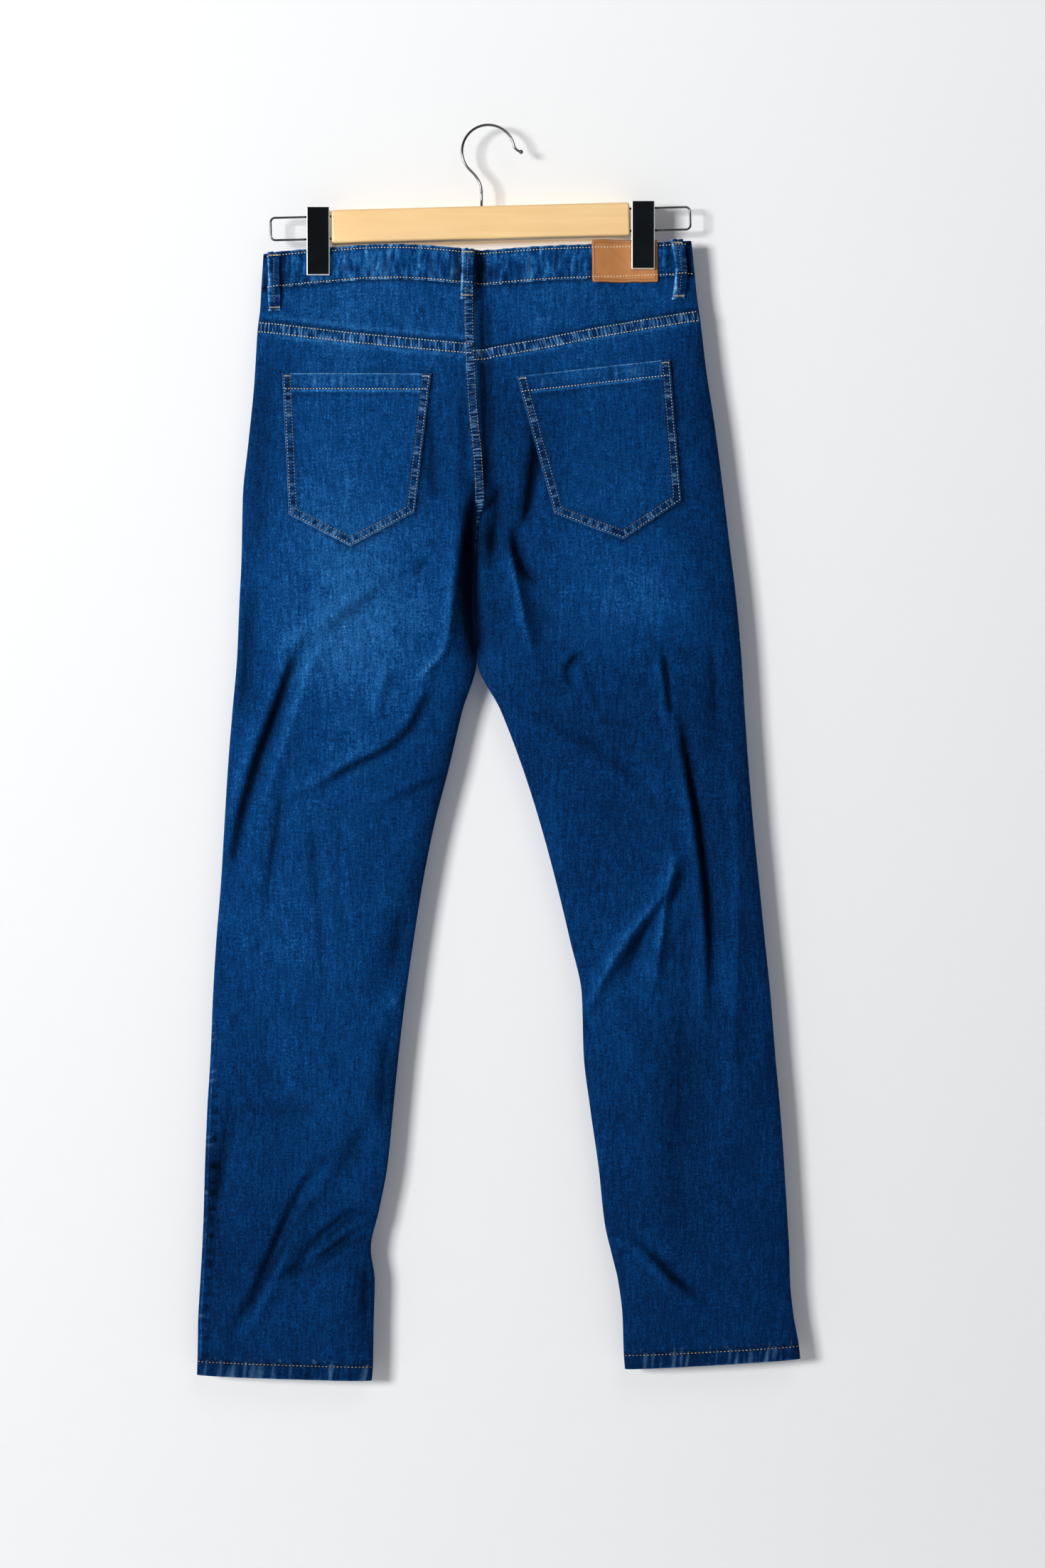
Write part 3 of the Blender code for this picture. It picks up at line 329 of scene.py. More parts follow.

# painted shade (strength above 0) and painted highlights (below 0) along folds, ridges and seams of the back:
# path, half width and strength
PAINTED_SHADING_LINES = (
    PaintedShadingLine(((-200, -169.5), (-112, -181.5), (-16, -190.5)), 1.7, 0.50),
    PaintedShadingLine(((-200, -165), (-112, -177), (-16, -186)), 2.2, -0.16),
    PaintedShadingLine(((-200, -182.3), (-112, -194.3), (-16, -203)), 1.4, -0.30),
    PaintedShadingLine(((-8, -196.5), (45, -186.2), (92, -176.5), (182, -160.3)), 1.7, 0.50),
    PaintedShadingLine(((-8, -207.5), (45, -197.8), (92, -188.2), (184, -171.9)), 1.4, -0.25),
    PaintedShadingLine(((-240, -880), (-239, -950), (-237, -1010)), 9, 0.34),
    PaintedShadingLine(((-4, -318), (-12, -338), (-15, -360), (-14, -385), (-13, -410), (-11, -440), (-9, -466)), 5.5, 0.85),
    PaintedShadingLine(((-18, -340), (-19, -380), (-21, -420), (-22, -455)), 9, 0.35),
    PaintedShadingLine(((-1, -338), (-1, -370), (-3, -388)), 7, 0.55),
    PaintedShadingLine(((3, -400), (3, -440), (0, -470)), 10, 0.30),
    PaintedShadingLine(((-2, -342), (6, -330), (13, -318)), 5, 0.35),
    PaintedShadingLine(((0, -150), (1, -200), (2, -250), (1, -300), (-1, -325)), 4.5, 0.55),
    PaintedShadingLine(((43, -270), (40, -300), (36, -328), (32, -348)), 4.5, 0.65),
    PaintedShadingLine(((24, -356), (26, -372), (31, -385), (40, -396)), 5, 0.50),
    PaintedShadingLine(((30, -388), (50, -406), (47, -455)), 11, 0.25),
    PaintedShadingLine(((12, -330), (9, -380)), 12, 0.25),
    PaintedShadingLine(((18, -372), (22, -390), (27, -411), (32, -436), (38, -458)), 1.8, -0.22),
    PaintedShadingLine(((80, -461), (73, -466), (70, -475)), 3, 0.45),
    PaintedShadingLine(((82, -470), (86, -490), (91, -505)), 2, -0.15),
    PaintedShadingLine(((151, -462), (154, -485), (156, -514)), 2.6, 0.42),
    PaintedShadingLine(((146, -464), (150, -490)), 2.5, -0.12),
    PaintedShadingLine(((165, -518), (171, -548), (176, -575), (182, -604)), 4.0, 0.48),
    PaintedShadingLine(((180, -592), (185, -625), (188, -660), (190, -700), (190, -745)), 4.4, 0.34),
    PaintedShadingLine(((182, -560), (196, -640), (200, -720)), 13, 0.16),
    PaintedShadingLine(((190, -450), (196, -520), (200, -560)), 13, 0.20),
    PaintedShadingLine(((161, -628), (158, -660), (151, -690), (147, -720)), 3.2, -0.22),
    PaintedShadingLine(((146, -676), (126, -705), (104, -739), (86, -768)), 3.4, -0.26),
    PaintedShadingLine(((137, -704), (115, -738)), 4, 0.20),
    PaintedShadingLine(((162, -690), (155, -745)), 6, 0.15),
    PaintedShadingLine(((180, -760), (172, -850), (170, -930), (178, -1000)), 20, 0.20),
    PaintedShadingLine(((16, -498), (80, -512), (150, -530)), 34, 0.15),
    PaintedShadingLine(((135, -980), (148, -991), (160, -1003), (178, -1018)), 3.4, 0.45),
    PaintedShadingLine(((111, -984), (122, -978)), 3, 0.35),
    PaintedShadingLine(
        ((-167, -458), (-173, -475), (-181, -500), (-191, -527), (-204, -562), (-216, -600), (-225, -645)),
        5, 0.60,
    ),
    PaintedShadingLine(((-150, -462), (-164, -500), (-180, -545)), 6, -0.08),
    PaintedShadingLine(((-100, -406), (-130, -430), (-152, -447)), 5, 0.22),
    PaintedShadingLine(((-203, -395), (-206, -450), (-214, -510)), 6, 0.38),
    PaintedShadingLine(((-193, -192), (-196, -250), (-199, -330), (-205, -385)), 10, 0.30),
    PaintedShadingLine(((-54, -492), (-66, -518), (-76, -530), (-94, -545), (-116, -556), (-139, -570)), 3.4, 0.50),
    PaintedShadingLine(((-42, -567), (-60, -574), (-82, -584)), 3, 0.30),
    PaintedShadingLine(((-178, -575), (-182, -610), (-188, -650)), 6, 0.25),
    PaintedShadingLine(((-14, -480), (-40, -570), (-60, -645), (-74, -700), (-84, -742)), 9, 0.36),
    PaintedShadingLine(((-74, -778), (-84, -830), (-92, -880)), 10, 0.36),
    PaintedShadingLine(((-78, -760), (-86, -766)), 5, -0.12),
    PaintedShadingLine(((-219, -850), (-224, -875), (-230, -905), (-233, -935)), 5, 0.30),
    PaintedShadingLine(((-215, -854), (-150, -857)), 6, 0.18),
    PaintedShadingLine(((-104, -872), (-120, -900), (-136, -920)), 7, 0.24),
    PaintedShadingLine(((-150, -930), (-162, -948), (-180, -980), (-195, -1006), (-211, -1034)), 3, 0.55),
    PaintedShadingLine(((-98, -946), (-114, -948), (-130, -960), (-146, -975)), 3, 0.45),
    PaintedShadingLine(((-104, -965), (-122, -974), (-138, -984), (-158, -996), (-176, -1004)), 3.2, 0.45),
    PaintedShadingLine(((-104, -990), (-105, -1040)), 6, 0.35),
    PaintedShadingLine(
        ((-18, -330), (-23, -358), (-28, -395), (-31, -425), (-36, -455), (-48, -468), (-62, -483)),
        2.0, -0.30,
    ),
    PaintedShadingLine(((-15, -270), (-15, -325)), 2.5, -0.16),
    PaintedShadingLine(((-47, -265), (-46, -332)), 6, 0.22),
)

FADES = (
    Fade(BACK, -140, -620, 160, 420, 0, 0.26),
    Fade(BACK, 150, -720, 130, 330, 0, 0.11),
    Fade(BACK, -110, -150, 120, 80, 0, 0.35),
    Fade(BACK, 90, -150, 120, 70, 0, 0.32),
    Fade(BACK, -118, -345, 74, 120, 0, 0.34),
    Fade(BACK, -112, -440, 66, 66, 0, 0.34),
    Fade(BACK, 108, -330, 74, 120, 0, 0.27),
    Fade(BACK, 118, -415, 60, 46, 0, 0.26),
    Fade(BACK, -165, -690, 46, 110, 4, 0.10),
    Fade(BACK, 118, -745, 34, 70, -14, 0.12),
    Fade(FRONT, -120, -500, 70, 190, 3, 0.50),
    Fade(FRONT, 112, -500, 70, 190, -3, 0.50),
    Fade(FRONT, -158, -690, 62, 170, 3, 0.42),
    Fade(FRONT, 160, -690, 62, 170, -3, 0.42),
    Fade(FRONT, 0, -220, 260, 160, 0, 0.26),
)

LEFT_POCKET = ((-179, -217), (-49, -218), (-63, -338), (-119, -368), (-173, -340))
RIGHT_POCKET = ((24.5, -220.5), (158, -205), (168, -328), (117.5, -362), (57.5, -340))
POCKET_ROWS = (1.9, 6.9)  # stitches, from the pocket's edge
POCKET_MOUTH = 13.8  # the mouth's row of stitches, from its upper edge
BAND_ROWS = (0.095, 0.945)  # stitches, as shares of the waistband's height from its top
SCOOP = (68.0, 72.0)  # radii of the hip pocket's opening along X and Z
PATCH_CENTRE, PATCH_TURN = (119.0, -118.5), math.radians(0.8)


class BeltLoop(NamedTuple):
    """A belt loop: its CAD node, the ends of its middle line, and how far that line bends to the right."""

    name: str
    face: Face
    top: tuple[float, float]
    low: tuple[float, float]
    bow: float = 0.0


BELT_LOOPS = (
    BeltLoop("belt_loop_back", BACK, (-17.5, -109.5), (-18.5, -153)),
    BeltLoop("belt_loop_side_left", BACK, (-187, -110.5), (-186, -162)),
    BeltLoop("belt_loop_side_right", BACK, (164, -99.5), (165.5, -152), 3.0),
    BeltLoop("belt_loop_front_left", FRONT, (-112, -109.5), (-112, -163)),
    BeltLoop("belt_loop_front_right", FRONT, (92, -106), (92, -160)),
)
# shadows on the band beside the belt loops: place along X, half width and strength
LOOP_SHADOWS = (
    (-26.5, 5, 0.8), (-7, 7, 0.85), (-179.5, 3.5, 0.7),
    (-194, 3, 0.6), (173.5, 4.5, 0.75), (157, 3, 0.6),
)
# radius and height of the button's profile, from the middle of its face round to the middle of its foot
BUTTON_PROFILE = (
    (0, 1.5), (3.2, 1.25), (4.6, 0.9), (5.4, 1.35), (7.4, 1.5),
    (8.2, 1.0), (8.5, 0.2), (8.0, -0.8), (4, -1.5), (0, -1.5),
)


def ease_through(knots: Array, values: Array, at: Array) -> Array:
    """A smooth curve through rows of values that doesn't overshoot them.

    Args:
        knots: rising parameter values.
        values: a row of values for each knot.
        at: parameters to read the curve at.

    Returns:
        One row of values for each parameter, in the shape of at.
    """
    knots, values, at = (np.asarray(a, float) for a in (knots, values, at))
    step = np.diff(knots)
    slope = np.diff(values, axis=0) / step[:, None]
    before, after = slope[:-1], slope[1:]
    same_way = before * after > 0
    mean = 2 * before * after / np.where(same_way, before + after, 1)
    tangent = np.vstack([slope[:1], np.where(same_way, mean, 0), slope[-1:]])
    k = np.clip(np.searchsorted(knots, at, side="right") - 1, 0, len(step) - 1)
    t = ((np.clip(at, knots[0], knots[-1]) - knots[k]) / step[k])[..., None]
    h = step[k][..., None]
    return (
        (2 * t**3 - 3 * t**2 + 1) * values[k]
        + (t**3 - 2 * t**2 + t) * h * tangent[k]
        + (3 * t**2 - 2 * t**3) * values[k + 1]
        + (t**3 - t**2) * h * tangent[k + 1]
    )


def smooth_step(low: float, high: float, value: Array) -> Array:
    """0 below low, 1 above high and a smooth rise between them."""
    t = np.clip((value - low) / (high - low), 0, 1)
    return t * t * (3 - 2 * t)


def bell(value: Array, width: Array | float = 1.0) -> Array:
    """1 where the value is 0, falling to 0 on both sides within about two widths."""
    return np.exp(-((value / width) ** 2))


def unit(run: Array) -> Array:
    """The direction of a run in the XZ plane."""
    return run / np.hypot(*run)


def headings(line: Array) -> Array:
    """The direction of a line in the XZ plane at each of its points."""
    heading = np.gradient(line, axis=0)
    return heading / np.hypot(*heading.T)[:, None]


def close_to(points: Array, reach: float, x: Array, z: Array) -> Array:
    """Whether each place (x, z) lies in the points' box grown by the reach."""
    low, high = points.min(axis=0) - reach, points.max(axis=0) + reach
    return (x > low[0]) & (x < high[0]) & (z > low[1]) & (z < high[1])


def ripple(run: Array, period: float, seed: int) -> Array:
    """An uneven wave from -1 to 1 along a seam, always the same for one seed."""
    total = np.zeros(np.shape(run))
    for k, (stretch, weight) in enumerate(((1.0, 0.5), (0.61, 0.3), (1.73, 0.35), (0.37, 0.15))):
        phase = 2.399 * (seed * 7 + k * 3)
        bend = 0.9 * np.sin(run / (period * 4.3) + phase)
        total = total + weight * np.sin(2 * math.pi * run / (period * stretch) + phase + bend)
    return total


def travelled(corners: Array) -> Array:
    """How far along a path of straight runs each corner lies."""
    return np.concatenate([[0], np.cumsum(np.hypot(*np.diff(corners, axis=0).T))])


def walk(path: Path, spacing: float) -> tuple[Array, Array]:
    """Points at an even spacing along straight runs between corners.

    Args:
        path: corners in the XZ plane.
        spacing: the longest step.

    Returns:
        The points as rows, and how far along the path each lies.
    """
    corners = np.asarray(path, float)
    places = travelled(corners)
    count = max(2, int(math.ceil(places[-1] / spacing)) + 1)
    run = np.linspace(0, places[-1], count)
    return np.stack([np.interp(run, places, corners[:, k]) for k in (0, 1)], axis=1), run


def smooth_path(path: Path, spacing: float) -> Array:
    """Evenly spaced points of a smooth curve through the given points."""
    corners = np.asarray(path, float)
    places = travelled(corners)
    if len(corners) == 2:
        fine = corners
    else:
        fine = ease_through(places, corners, np.linspace(0, places[-1], 60))
    return walk(tuple(map(tuple, fine)), spacing)[0]


def offset_path(path: Path, distance: float) -> Path:
    """The path moved sideways, to its left as one walks along it."""
    points = np.asarray(path, float)
    runs = np.diff(points, axis=0)
    runs /= np.hypot(*runs.T)[:, None]
    normals = np.stack([-runs[:, 1], runs[:, 0]], axis=1)
    out = [points[0] + normals[0] * distance]
    for k in range(1, len(points) - 1):
        middle = normals[k - 1] + normals[k]
        out.append(points[k] + middle * (2 * distance / (middle @ middle)))
    out.append(points[-1] + normals[-1] * distance)
    return tuple(map(tuple, out))


def distance_to(path: Path, x: Array, z: Array) -> tuple[Array, Array, Array]:
    """Nearest point of a path of straight runs.

    Args:
        path: corners in the XZ plane.
        x: places along X.
        z: places along Z.

    Returns:
        The distance, the length along the path, and the side: above 0 to the left of the walk.
    """
    best = np.full(np.broadcast(x, z).shape, 1e9)
    along, side = np.zeros(best.shape), np.ones(best.shape)
    travelled = 0.0
    for (ax, az), (bx, bz) in zip(path[:-1], path[1:]):
        dx, dz = bx - ax, bz - az
        length = math.hypot(dx, dz)
        t = np.clip(((x - ax) * dx + (z - az) * dz) / length**2, 0, 1)
        away = np.hypot(x - ax - t * dx, z - az - t * dz)
        nearer = away < best
        best = np.where(nearer, away, best)
        along = np.where(nearer, travelled + t * length, along)
        side = np.where(nearer, np.sign(dx * (z - az) - dz * (x - ax)), side)
        travelled += length
    return best, along, side


@dataclass
class Form:
    """The hanging shape of the garment, which every cloth piece is laid on."""

    gap: float = 0.1
    edge: float = 1.3
    roundness: float = 2.5
    gain: float = 1.5
    tables: dict[Side, tuple[Section, ...]] = field(
        default_factory=lambda: {Side.LEFT: LEFT_SECTIONS, Side.RIGHT: RIGHT_SECTIONS}
    )

    def drops(self, side: Side) -> Array:
        """The parameter of every section: how far down it lies."""
        return np.array([-(row.outer_z + row.inner_z) / 2 for row in self.tables[side]])

    def drop_of(self, side: Side, name: str) -> float:
        """The parameter of the named section."""
        return float(self.drops(side)[[row.name for row in self.tables[side]].index(name)])

    def under(self, side: Side, seam: str) -> float:
        """Where the cloth below a seam starts, half a gap under it."""
        return self.drop_of(side, seam) + self.gap / 2

    def over(self, side: Side, seam: str) -> float:
        """Where the cloth above a seam ends, half a gap over it."""
        return self.drop_of(side, seam) - self.gap / 2

    def section(self, side: Side, drop: Array) -> Section:
        """The sections' columns at any drop, as a Section of arrays."""
        columns = ease_through(self.drops(side), [row[1:] for row in self.tables[side]], drop)
        return Section("between", *np.moveaxis(columns, -1, 0))

    def relief(self, face: Face, x: Array, z: Array) -> Array:
        """How far the creases of one face lift or sink the cloth at (x, z)."""
        x, z = np.broadcast_arrays(np.asarray(x, float), np.asarray(z, float))
        total = np.zeros(x.shape)
        for crease in CREASES:
            if crease.face is not face:
                continue
            line = smooth_path(crease.path, 1.5)
            near = close_to(line, 3 * max(crease.left, crease.right), x, z)
            if near.any():
                total[near] += self.gain * self.crease_height(crease, line, x[near], z[near])
        return total + self.drift(face, x, z)

    def drift(self, face: Face, x: Array, z: Array) -> Array:
        """Slight unevenness of cloth that has hung and been handled, with no main direction."""
        lean = x + 0.35 * z
        bent = lean + 30 * ripple(z, 170, 3)
        slow = 0.55 * ripple(bent, 46, 1 + face.value) * ripple(z, 120, 5 + face.value)
        quick = 0.16 * ripple(x * 0.9 - 0.5 * z, 17, 7) * ripple(z + 0.3 * x, 23, 2)
        return slow + quick

    def crease_height(self, crease: Crease, line: Array, x: Array, z: Array) -> Array:
        """Height of one crease at places near it.

        Args:
            crease: its row of the table.
            line: its centreline as points.
            x: places along X.
            z: places along Z.

        Returns:
            The height at each place, in millimetres.
        """
        away_x, away_z = x[:, None] - line[:, 0], z[:, None] - line[:, 1]
        nearest = np.argmin(away_x**2 + away_z**2, axis=1)
        each = np.arange(len(x))
        away_x, away_z = away_x[each, nearest], away_z[each, nearest]
        along_x, along_z = headings(line)[nearest].T
        across = along_x * away_z - along_z * away_x
        at_end = (nearest == 0) | (nearest == len(line) - 1)
        beyond = np.where(at_end, np.abs(along_x * away_x + along_z * away_z), 0)
        share = nearest / (len(line) - 1)
        taper = np.sin(np.pi * np.clip(share, 0.03, 0.97)) ** 0.5
        width = np.where(across > 0, crease.left, crease.right)
        fall = bell(beyond, width) * taper
        if crease.shape is Shape.SOFT:
            return crease.height * fall * (0.8 * bell(across, width) + 0.3 * bell(across / width * 2.6))
        sunk = bell(across + 0.35 * crease.right, 0.8 * crease.right)
        raised = bell(across - 0.9 * crease.left, crease.left)
        return crease.height * fall * (sunk - 0.55 * raised)

    def wave(self, face: Face, x: Array) -> Array:
        """Half depth of the gathered waist at places along X."""
        depths = ease_through([w.x for w in WAIST_WAVES], [w[1:] for w in WAIST_WAVES], x)
        return depths[..., 0 if face is BACK else 1]

    def row_z(self, face: Face, section: Section, share: Array) -> Array:
        """Height of a section's line at shares of the way from its outer to its inner end."""
        z = section.outer_z + (section.inner_z - section.outer_z) * share
        z = z + section.arch * 4 * share * (1 - share)
        return z - section.drop * share if face is FRONT else z

    def last_angle(self, section: Section) -> Array:
        """Angle of a section's inner edge: a quarter turn at the centre seam, a half turn at the inseam."""
        return math.pi / 2 * (1 + section.fork)

    def across(
        self, side: Side, face: Face, section: Section, angle: Array, last: Array
    ) -> tuple[Array, Array, Array]:
        """Points on sections, by angle from the side seam.

        Args:
            side: half of the garment.
            face: back or front.
            section: the sections' columns.
            angle: angle of each point, 0 at the side seam.
            last: the angle of the inner edge.

        Returns:
            x, the distance out from the middle plane, and z, in millimetres.
        """
        share = (1 - np.cos(angle)) / (1 - np.cos(last))
        profile = (1 - np.abs(np.cos(angle)) ** self.roundness) ** (1 / self.roundness)
        inner_x = section.inner_x + side.value * (self.gap / 2 + self.edge * (1 - section.fork))
        x = section.outer_x + (inner_x - section.outer_x) * share
        z = self.row_z(face, section, share)
        still = section.back if face is BACK else section.front
        depth = self.wave(face, x) * (1 - section.drape) + still * section.drape
        y = self.edge + depth * profile + self.relief(face, x, z) * profile
        return x, np.maximum(y, 1.2), z

    def grid(self, side: Side, face: Face, drops: Array, columns: int) -> Array:
        """Points of the cloth's face between two seams, as rows by columns by (x, out, z)."""
        section = self.section(side, np.asarray(drops, float)[:, None])
        last = self.last_angle(section)
        angle = np.linspace(0, 1, columns + 1)[None, :] * last
        x, y, z = self.across(side, face, section, angle, last)
        outer = [section.outer_x, np.zeros_like(section.outer_x), z[:, :1]]
        inner = [section.inner_x + side.value * self.gap / 2, y[:, -1:] - self.edge * section.fork, z[:, -1:]]
        x, y, z = (np.hstack([a, b, c]) for a, b, c in zip(outer, (x, y, z), inner))
        return np.stack([x, y + self.gap / 2, z], axis=-1)

    def out_at(self, side: Side, face: Face, x: Array, z: Array) -> Array:
        """How far out the cloth's face lies at places (x, z)."""
        x, z = np.broadcast_arrays(np.asarray(x, float), np.asarray(z, float))
        drop = -z
        for _ in range(8):
            section = self.section(side, drop)
            share = np.clip((x - section.outer_x) / (section.inner_x - section.outer_x), 0, 1)
            drop = drop + self.row_z(face, section, share) - z
        last = self.last_angle(section)
        angle = np.arccos(np.clip(1 - share * (1 - np.cos(last)), -1, 1))
        return self.across(side, face, section, angle, last)[1] + self.gap / 2


@dataclass
class Sheet:
    """A grid of points that becomes one piece of cloth, with what its material needs to know."""

    name: str
    face: Face
    points: Array
    run: Array | None = None
    rise: Array | None = None
    rope: Array | None = None
    closed: bool = False
    keep: Array | None = None
    # painted light and shade with a few wear marks: lighter above 0, darker below 0
    tone: Array | None = None

    def flat_area(self) -> float:
        """Area of the face of the cloth, in square metres."""
        p = self.points * MM
        across = p[1:, 1:] - p[:-1, :-1]
        other = p[1:, :-1] - p[:-1, 1:]
        cells = np.linalg.norm(np.cross(across, other), axis=-1) / 2
        if self.keep is not None:
            whole = self.keep[1:, 1:] & self.keep[:-1, :-1] & self.keep[1:, :-1] & self.keep[:-1, 1:]
            cells = cells * whole
        return float(cells.sum())

    def build(self, finish: bpy.types.Material) -> bpy.types.Object:
        """Makes the mesh, facing outwards, with the attributes that the cloth's material reads.

        Args:
            finish: the piece's material.

        Returns:
            The new object, at the origin.
        """
        rows, columns = self.points.shape[:2]
        placed = self.points * MM * np.array([1, self.face.value, 1])
        wrap = columns - 1 if self.closed else columns
        index = np.arange(rows * columns).reshape(rows, columns)
        if self.closed:
            index = np.arange(rows * wrap).reshape(rows, wrap)
            index = np.hstack([index, index[:, :1]])
            placed = placed[:, :-1]
        quads = np.stack([index[:-1, :-1], index[1:, :-1], index[1:, 1:], index[:-1, 1:]], axis=-1)
        if self.keep is not None:
            held = self.keep[:-1, :-1] & self.keep[1:, :-1] & self.keep[1:, 1:] & self.keep[:-1, 1:]
            quads = quads[held]
        quads = quads.reshape(-1, 4)
        mesh = bpy.data.meshes.new(self.name)
        mesh.from_pydata(placed.reshape(-1, 3).tolist(), [], quads.tolist())
        facing, middles = np.zeros(len(mesh.polygons) * 3), np.zeros(len(mesh.polygons) * 3)
        mesh.polygons.foreach_get("normal", facing)
        mesh.polygons.foreach_get("center", middles)
        out = np.sign(middles[1::3]) if self.closed else self.face.value
        if (facing[1::3] * out).sum() < 0:
            mesh.flip_normals()
        self.store(mesh, wrap)
        if self.keep is not None:
            self.drop_loose(mesh)
        return smooth_object(mesh, finish)

    def store(self, mesh: bpy.types.Mesh, wrap: int) -> None:
        """Writes run, rise and rope to the mesh, how faded the cloth is with the painted highlights added,
        and the painted shade.
        """
        x, z = self.points[:, :wrap, 0], self.points[:, :wrap, 2]
        seam = np.zeros((*x.shape, 3))
        for k, values in enumerate((self.run, self.rise, self.rope)):
            if values is not None:
                seam[..., k] = np.broadcast_to(values, self.points.shape[:2])[:, :wrap]
        seam[..., :2] *= MM
        mesh.attributes.new("seam", "FLOAT_VECTOR", "POINT").data.foreach_set("vector", seam.ravel())
        tone = 0.0 if self.tone is None else self.tone
        tone = np.broadcast_to(tone, self.points.shape[:2])[:, :wrap]
        # fade plus the lighter part of the tone, which is mostly painted highlight
        worn = fade_at(self.face, x, z) + np.maximum(tone, 0)
        mesh.attributes.new("worn", "FLOAT", "POINT").data.foreach_set("value", worn.ravel())
        # the darker part of the tone, as painted shade
        shade = np.clip(1 + np.minimum(tone, 0), 0.12, 1)
        mesh.attributes.new("shade", "FLOAT", "POINT").data.foreach_set("value", shade.ravel())

    def drop_loose(self, mesh: bpy.types.Mesh) -> None:
        """Removes the points that no face uses."""
        work = bmesh.new()
        work.from_mesh(mesh)
        bmesh.ops.delete(work, geom=[v for v in work.verts if not v.link_faces], context="VERTS")
        work.to_mesh(mesh)
        work.free()


def fade_at(face: Face, x: Array, z: Array) -> Array:
    """How washed-out the cloth is at (x, z), from 0 to 1."""
    dark = np.ones(np.broadcast(x, z).shape)
    for fade in FADES:
        if fade.face is not face:
            continue
        turn = math.radians(fade.turn)
        dx, dz = x - fade.x, z - fade.z
        u = (dx * math.cos(turn) + dz * math.sin(turn)) / fade.radius_x
        v = (dz * math.cos(turn) - dx * math.sin(turn)) / fade.radius_z
        dark = dark * (1 - fade.strength * np.exp(-(u * u + v * v)))
    return 1 - dark


def put_in_scene(name: str, data: bpy.types.ID) -> bpy.types.Object:
    """Makes an object of the data and links it to the scene."""
    made = bpy.data.objects.new(name, data)
    bpy.context.scene.collection.objects.link(made)
    return made


def smooth_object(mesh: bpy.types.Mesh, finish: bpy.types.Material) -> bpy.types.Object:
    """Shades a mesh smooth, gives it its finish and puts it in the scene under its own name."""
    mesh.shade_smooth()
    mesh.materials.append(finish)
    return put_in_scene(mesh.name, mesh)


def from_work(name: str, work: bmesh.types.BMesh, finish: bpy.types.Material) -> bpy.types.Object:
    """Turns finished mesh work into an object."""
    mesh = bpy.data.meshes.new(name)
    work.to_mesh(mesh)
    work.free()
    return smooth_object(mesh, finish)


def give_wall(piece: bpy.types.Object, thickness: float, inward: bool = True) -> bpy.types.Object:
    """Gives a sheet its thickness in millimetres, on the inside of its face or the outside."""
    wall = piece.modifiers.new("wall", "SOLIDIFY")
    wall.thickness = thickness * MM
    wall.offset = -1 if inward else 1
    return piece


class Signal:
    """A value that varies over a surface. Arithmetic on it adds Math nodes."""

    def __init__(self, shader: Shader, socket: bpy.types.NodeSocket) -> None:
        """Keeps the shader that the value belongs to and the socket that gives it."""
        self.shader = shader
        self.socket = socket

    def __add__(self, other: Signal | float) -> Signal:
        """Sum."""
        return self.shader.math("ADD", self, other)

    def __sub__(self, other: Signal | float) -> Signal:
        """Difference."""
        return self.shader.math("SUBTRACT", self, other)

    def __rsub__(self, other: float) -> Signal:
        """Difference from a number."""
        return self.shader.math("SUBTRACT", other, self)

    def __mul__(self, other: Signal | float) -> Signal:
        """Product."""
        return self.shader.math("MULTIPLY", self, other)

    def __abs__(self) -> Signal:
        """Size without its sign."""
        return self.shader.math("ABSOLUTE", self)

    __radd__ = __add__
    __rmul__ = __mul__

    def sine(self) -> Signal:
        """Sine of the value in radians."""
        return self.shader.math("SINE", self)

    def clamped(self) -> Signal:
        """The value kept from 0 to 1."""
        return self.shader.node("ShaderNodeClamp", values={"Value": self})

    def step(self, low: float, high: float) -> Signal:
        """0 below low, 1 above high, smooth between them."""
        values = {"Value": self, "From Min": low, "From Max": high}
        return self.shader.node("ShaderNodeMapRange", {"interpolation_type": "SMOOTHSTEP"}, values)


